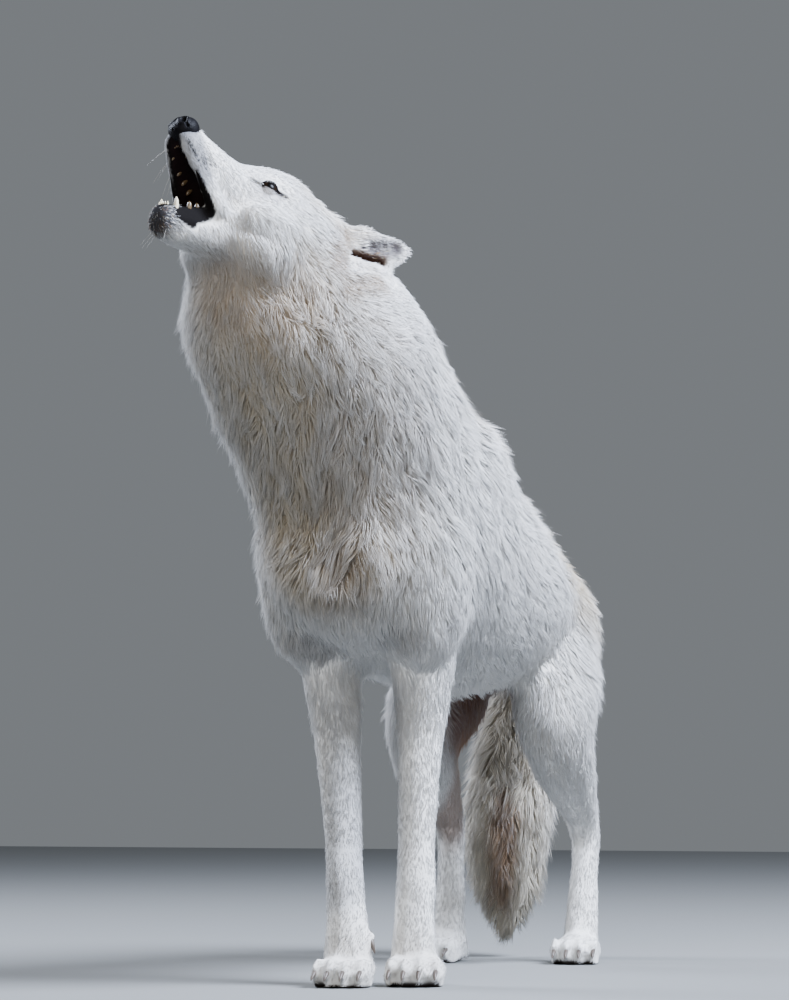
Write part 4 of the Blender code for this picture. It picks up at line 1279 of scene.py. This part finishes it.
def mesh_of(name, points, faces):
    mesh = bpy.data.meshes.new(name)
    mesh.vertices.add(len(points))
    mesh.vertices.foreach_set("co", points.astype(np.float32).ravel())
    mesh.loops.add(faces.size)
    mesh.loops.foreach_set("vertex_index", faces.astype(np.int32).ravel())
    mesh.polygons.add(len(faces))
    mesh.polygons.foreach_set("loop_start", np.arange(0, faces.size, 3, dtype=np.int32))
    mesh.update(calc_edges=True)
    mesh.polygons.foreach_set("use_smooth", np.ones(len(faces), bool))
    made = bpy.data.objects.new(name, mesh)
    bpy.context.scene.collection.objects.link(made)
    return made


def rings(start, mid, tip, normal, width):
    """The seven corners of each tuft."""
    corners = []
    for place, ahead, share in ((start, mid - start, 0.75), (mid, tip - start, 1.0)):
        aside = unit(np.cross(unit(ahead), normal))
        over = np.cross(aside, unit(ahead))
        for x, y in ROOF:
            corners.append(place + (aside * x + over * y) * (width * share)[:, None])
    corners.append(tip)
    return np.stack(corners, axis=1)


corners = rings(start, mid, tip, normal, width)
say(f"{len(corners)} tufts have {corners.shape[1]} corners each")


# %% [markdown]
# One mesh of all tufts would be too heavy, so the coat is parted into regions, by the row of
# the coat's table that a root lies nearest to.
# %% Build the pieces of the coat
region_of_row = {place: k for k, places in enumerate(REGIONS.values()) for place in places}
region = np.array([region_of_row[place] for place in ROW_NAMES])[row]
for k, name in enumerate(REGIONS):
    chosen = np.flatnonzero(region == k)
    if len(chosen) > MOST_TUFTS:
        say(f"{name}: {len(chosen)} tufts are thinned")
        chosen = np.sort(RANDOM.choice(chosen, MOST_TUFTS, replace=False))
    faces = (TUFT_FACES[None] + TUFT_CORNERS * np.arange(len(chosen))[:, None, None]).reshape(-1, 3)
    piece = mesh_of(name, corners[chosen].reshape(-1, 3), faces)
    shades = np.stack([low_colour] * 3 + [mid_colour] * 3 + [tip_colour], axis=1)[chosen].reshape(-1, 3)
    store(piece.data, "coat", shades)
    layer = piece.data.uv_layers.new(name="OFBake")
    patch = np.clip(uv[chosen][:, None, :] + PATCH[None], 0, 1).reshape(-1, 2)
    layer.data.foreach_set("uv", patch[faces.ravel()].astype(np.float32).ravel())
    own = normals_of(piece.data)
    soft = unit(own * 0.45 + np.repeat(normal[chosen], TUFT_CORNERS, axis=0) * 0.75)
    piece.data.normals_split_custom_set_from_vertices(soft.tolist())
    piece.data.materials.append(fur_material(name.replace("fur_", "guard_hair_")))
    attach(piece, "root")
    say(f"{name}: {len(chosen)} tufts")


# %% [markdown]
# The eyes are balls of the right size, set in the real sockets, with a slight swell for the
# cornea. Rings of colour around the gaze make the pupil, the dark brown iris and its darker edge;
# the iris and the ball are painted this dark as the shade of the half-shut lids. The angle from
# the gaze is stored with each vertex, so that the rings turn with the eye.
# %% Eyes
# painted shade: the iris and the ball are nearly black, as in the shade of the lids
SHADED_EYE_RINGS = [
    # angle from the gaze, in half turns, and colour: the pupil, the iris, its edge, the ball
    (0.0, "#050403"),
    (0.130, "#050403"),
    (0.150, "#150d07"),
    (0.230, "#1c1209"),
    (0.300, "#150e08"),
    (0.325, "#120b07"),
    (0.380, "#100c0b"),
    (0.50, "#1a1614"),
]


def coloured_by_angle(tree, name, stops):
    """A colour ramp over a stored number."""
    value = node(tree, "ShaderNodeAttribute", {"attribute_name": name})
    ramp_node = node(tree, "ShaderNodeValToRGB", Fac=value.outputs["Fac"])
    elements = ramp_node.color_ramp.elements
    while len(elements) < len(stops):
        elements.new(0.5)
    for element, (place, colour) in zip(elements, stops):
        element.position = place
        element.color = (*linear(colour), 1)
    return ramp_node.outputs["Color"]


def eye_material():
    """A moist cornea over a dark iris, painted dark as the shade of the half-shut lids."""
    gloss = {"Roughness": 0.30, "Specular_IOR_Level": 0.08, "Coat_Weight": 0.02, "Coat_Roughness": 0.05}
    material, tree, shader = new_material("wolf_eye", **gloss)
    tree.links.new(coloured_by_angle(tree, "ring", SHADED_EYE_RINGS), shader.inputs["Base Color"])
    return material


def add_eye(side, material):
    axes = EYES[side]
    bpy.ops.object.select_all(action="DESELECT")
    bpy.ops.mesh.primitive_uv_sphere_add(segments=64, ring_count=40, radius=EYE_RADIUS)
    eye = bpy.context.object
    eye.name = "eyeball_left" if side > 0 else "eyeball_right"
    points = coordinates(eye.data)
    angle = np.arccos(np.clip(points[:, 2] / EYE_RADIUS, -1, 1)) / math.pi
    points = points * (1 + 0.045 * (1 - ramp(angle, 0.0, 0.33)))[:, None]
    move_vertices(eye.data, points @ axes.frame + np.array(axes.origin))
    store(eye.data, "ring", angle)
    bpy.ops.object.shade_smooth()
    eye.data.materials.append(material)
    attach(eye, "root")
    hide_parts("eye_left" if side > 0 else "eye_right")


eye_look = eye_material()
for side in (1, -1):
    add_eye(side, eye_look)
say(f"two eyes of {2000 * EYE_RADIUS:.0f} mm are in")


# %% [markdown]
# The nose is bare black leather: broad above, narrow below, flat in front, with two nostrils
# that run out into slots and a groove between them. It could be carved with Booleans, but their
# edges are too sharp for flesh, so a fine sphere is pressed and swollen along lines, as the skin
# was. Its pebbles are about a millimetre wide and are drawn by a bump of cells.
# %% Nose leather
NOSE_PLACE = (0, -0.0520, 0.1735)
NOSE_RADII = (0.0210, 0.0210, 0.0170)


def mottled(name, scale, detail, dark, pale, **values):
    """A living surface: a cloudy mix of a dark and a pale colour, and what else is built on it."""
    material, tree, shader = new_material(name, **values)
    place = node(tree, "ShaderNodeTexCoord").outputs["Object"]
    tone = node(tree, "ShaderNodeTexNoise", Vector=place, Scale=scale, Detail=detail).outputs["Fac"]
    colours = node(tree, "ShaderNodeValToRGB", Fac=tone)
    for element, colour in zip(colours.color_ramp.elements, (dark, pale)):
        element.color = (*linear(colour), 1)
    tree.links.new(colours.outputs["Color"], shader.inputs["Base Color"])
    return material, tree, shader, place, tone


def nose_material():
    """Bare black nose skin: pebbled, damp, with a soft broad shine."""
    made = mottled("nose_leather", 90.0, 3.0, "#070708", "#131216", Specular_IOR_Level=0.07)
    material, tree, shader, place, tone = made
    pebbles = node(tree, "ShaderNodeTexVoronoi", Vector=place, Scale=850.0).outputs["Distance"]
    bump = node(tree, "ShaderNodeBump", {"invert": True}, Strength=0.55, Distance=0.0005, Height=pebbles)
    rough = node(tree, "ShaderNodeMapRange", Value=tone, _3=0.38, _4=0.55)
    tree.links.new(rough.outputs["Result"], shader.inputs["Roughness"])
    tree.links.new(bump.outputs["Normal"], shader.inputs["Normal"])
    return material


def add_nose():
    bpy.ops.object.select_all(action="DESELECT")
    bpy.ops.mesh.primitive_ico_sphere_add(subdivisions=6, radius=1)
    nose = bpy.context.object
    nose.name = "nose_leather"
    unit_points = coordinates(nose.data)
    left, up, forward = unit_points.T
    left = left * (1.0 + 0.10 * up)
    up = np.where(up < 0, 0.80 * up, up)
    forward = np.sign(forward) * np.abs(forward) ** 0.85 * np.where(forward > 0, 0.96, 1.0)
    local = np.stack([left, up, forward], axis=1) * NOSE_RADII
    for side in (1, -1):
        hole = from_segment(local, (side * 0.0085, 0.0030, 0.0150), (side * 0.0100, 0.0005, 0.0145))
        slot = from_segment(local, (side * 0.0105, 0.0000, 0.0140), (side * 0.0175, -0.0035, 0.0075))
        dent = 0.0095 * (1 - ramp(hole, 0.0010, 0.0052)) + 0.0035 * (1 - ramp(slot, 0.0004, 0.0028))
        wing = 0.0016 * np.exp(-(((hole - 0.0062) / 0.0022) ** 2))
        local = local + unit(unit_points) * (wing - dent)[:, None]
    groove = from_segment(local, (0, 0.0045, 0.0150), (0, -0.0150, 0.0090))
    local = local - unit(unit_points) * (0.0022 * (1 - ramp(groove, 0.0002, 0.0022)))[:, None]
    move_vertices(nose.data, local @ HEAD.frame + np.array(HEAD.at(*NOSE_PLACE)))
    bpy.ops.object.shade_smooth()
    nose.data.materials.append(nose_material())
    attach(nose, "root")
    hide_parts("nose")


add_nose()
say(f"the nose is in, {2000 * NOSE_RADII[0]:.0f} mm wide")


# %% [markdown]
# The tongue's solid already has the right outline. It could be modelled again, but a copy that
# is remeshed and smoothed keeps that outline and loses the facets; a groove is pressed down its
# middle. It is wet flesh in the shade of the mouth, with a grain of small bumps.
# %% Tongue
def tongue_material():
    """Wet dull-red flesh."""
    made = mottled("tongue_flesh", 120.0, 4.0, "#4a2426", "#7c4143", Roughness=0.34)
    material, tree, shader, place, _ = made
    grain = node(tree, "ShaderNodeTexVoronoi", Vector=place, Scale=1300.0).outputs["Distance"]
    bump = node(tree, "ShaderNodeBump", Strength=0.4, Distance=0.0004, Height=grain)
    tree.links.new(bump.outputs["Normal"], shader.inputs["Normal"])
    return material


def add_tongue():
    tongue = bpy.data.objects.new("tongue_flesh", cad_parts["tongue"].data.copy())
    bpy.context.scene.collection.objects.link(tongue)
    merge_doubles(tongue)
    modify(tongue, "REMESH", mode="VOXEL", voxel_size=0.0011)
    modify(tongue, "SMOOTH", factor=0.5, iterations=14)
    points = coordinates(tongue.data)
    local = JAW.local(points)
    groove = 0.0012 * (1 - ramp(np.abs(local[:, 0]), 0.0005, 0.0035))
    groove = groove * ramp(local[:, 1], -0.010, -0.004)
    move_vertices(tongue.data, points - np.outer(groove, JAW.frame[1]))
    bpy.ops.object.shade_smooth()
    tongue.data.materials.clear()
    tongue.data.materials.append(tongue_material())
    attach(tongue, "root")
    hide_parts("tongue")
    say(f"the tongue is in, with a groove {1000 * groove.max():.1f} mm deep")


add_tongue()


# %% [markdown]
# Teeth and claws are the same shape to a modeller: a cone that thickens to its root and bends a
# little. One function makes a row of rings along the bend, and the pieces join into one mesh.
# The lower front teeth catch the light; the others stand in the dark of the mouth, and their
# enamel is painted dark brown as that shade.
# %% Teeth and claws
TOOTH_BEND, CLAW_BEND = 0.10, 0.35


def horn(axes, length, radius, bend, sides=14, rows=9, sink=0.65):
    """Points and faces of one closed, bent cone."""
    points, faces = [], []
    for share in np.linspace(-sink, 0.985, rows):
        ahead = max(share, 0)
        size = radius * math.sqrt(max(1 - ahead**1.7, 0.0)) if ahead else radius
        centre = np.array([0, -bend * ahead**2 * length, share * length])
        for k in range(sides):
            turn = 2 * math.pi * k / sides
            points.append(centre + size * np.array([math.cos(turn), math.sin(turn), 0]))
    for row in range(rows - 1):
        for k in range(sides):
            a, b = row * sides + k, row * sides + (k + 1) % sides
            faces += [(a, b, b + sides), (a, b + sides, a + sides)]
    points += [np.array([0, 0, -sink * length]), np.array([0, -bend * length, length])]
    low, high = len(points) - 2, len(points) - 1
    for k in range(sides):
        after = (k + 1) % sides
        last = (rows - 1) * sides
        faces += [(low, after, k), (high, last + k, last + after)]
    return np.array(points) @ axes.frame + np.array(axes.origin), np.array(faces)


def joined_horns(name, shapes, material):
    """One piece made of many cones."""
    points, faces, count = [], [], 0
    for some_points, some_faces in shapes:
        points.append(some_points)
        faces.append(some_faces + count)
        count += len(some_points)
    piece = mesh_of(name, np.vstack(points), np.vstack(faces))
    piece.data.materials.append(material)
    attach(piece, "root")


def enamel(name, dark, pale):
    """Tooth enamel: ivory with cloudy stains and a wet gloss, or dark brown as painted shade in the mouth.
    """
    return mottled(name, 260.0, 3.0, dark, pale, Roughness=0.25, Coat_Weight=0.3)[0]


def claw_horn():
    """Claw horn: grey-brown keratin with fine grain."""
    return mottled("claw_horn", 320.0, 4.0, "#2b2521", "#6d6054", Roughness=0.42)[0]


def teeth(lower, long, wide):
    """The cones of the lower front teeth, or of all others, in this share of their full size."""
    chosen = [row for row in TEETH if (row[0] == "lower") == lower]
    return [horn(axes, long * length, wide * radius, TOOTH_BEND) for _, axes, length, radius in chosen]


front_enamel = enamel("front_enamel", "#cdbd96", "#efe6cd")
# painted shade: all but the lower front teeth get dark brown enamel for the dark of the mouth
shaded_cheek_enamel = enamel("shaded_cheek_enamel", "#3f3222", "#715d42")
joined_horns("front_teeth", teeth(True, 0.9, 1.0), front_enamel)
joined_horns("cheek_teeth", teeth(False, 0.7, 0.8), shaded_cheek_enamel)
claws = [horn(axes, length, radius, CLAW_BEND) for _, axes, length, radius in CLAWS]
joined_horns("claws", claws, claw_horn())
say(f"{len(TEETH)} teeth and {len(CLAWS)} claws are in")


# %% [markdown]
# Whiskers are stiff pale hairs that taper from the lip and the chin. A curve with a bevel would
# do too; the cone of the teeth, made long and thin with four sides, needs no new function.
# %% Whiskers
WHISKER_RADIUS = 0.00022


def whisker_rows():
    """(root, direction, length) of every whisker."""
    rows = []
    for side in (1, -1):
        for k in range(6):
            row, column = divmod(k, 3)
            spot = HEAD.at(side * (0.022 + 0.002 * column), -0.052 - 0.007 * row, 0.158 - 0.011 * column)
            way = HEAD.direction(side * 0.85, -0.30 - 0.12 * row, -0.10 - 0.25 * column).normalized()
            rows.append((spot, way, 0.050 + 0.008 * column))
        for k in range(3):
            spot = JAW.at(side * (0.010 + 0.006 * k), -0.030, 0.058 - 0.008 * k)
            way = JAW.direction(side * (0.3 + 0.2 * k), -0.75, 0.55 - 0.2 * k).normalized()
            rows.append((spot, way, 0.038))
    return rows


def whisker_shape(spot, way, length):
    side = way.orthogonal().normalized()
    axes = turned(spot - way * 0.003, way, side)
    return horn(axes, length, WHISKER_RADIUS, 0.16, sides=4, rows=7, sink=0.02)


whisker_shapes = [whisker_shape(*row) for row in whisker_rows()]
whisker_hair = mottled("whisker_hair", 60.0, 2.0, "#8e8a84", "#cfcac0", Roughness=0.4)[0]
joined_horns("whiskers", whisker_shapes, whisker_hair)
say(f"{len(whisker_shapes)} whiskers are in")


# %% [markdown]
# Last, the boxes of the finished animal and of its solids are measured and printed. Its box may
# stand a little outside theirs where a few long hairs fly, but a larger difference would mean
# that a piece is misplaced.
# %% Finish
visual_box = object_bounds()
boxes = {"cad": [list(map(float, v)) for v in cad_box], "visual": [list(map(float, v)) for v in visual_box]}
for name, (low, high) in boxes.items():
    say(f"{name} box from {[round(x, 3) for x in low]} to {[round(x, 3) for x in high]}")
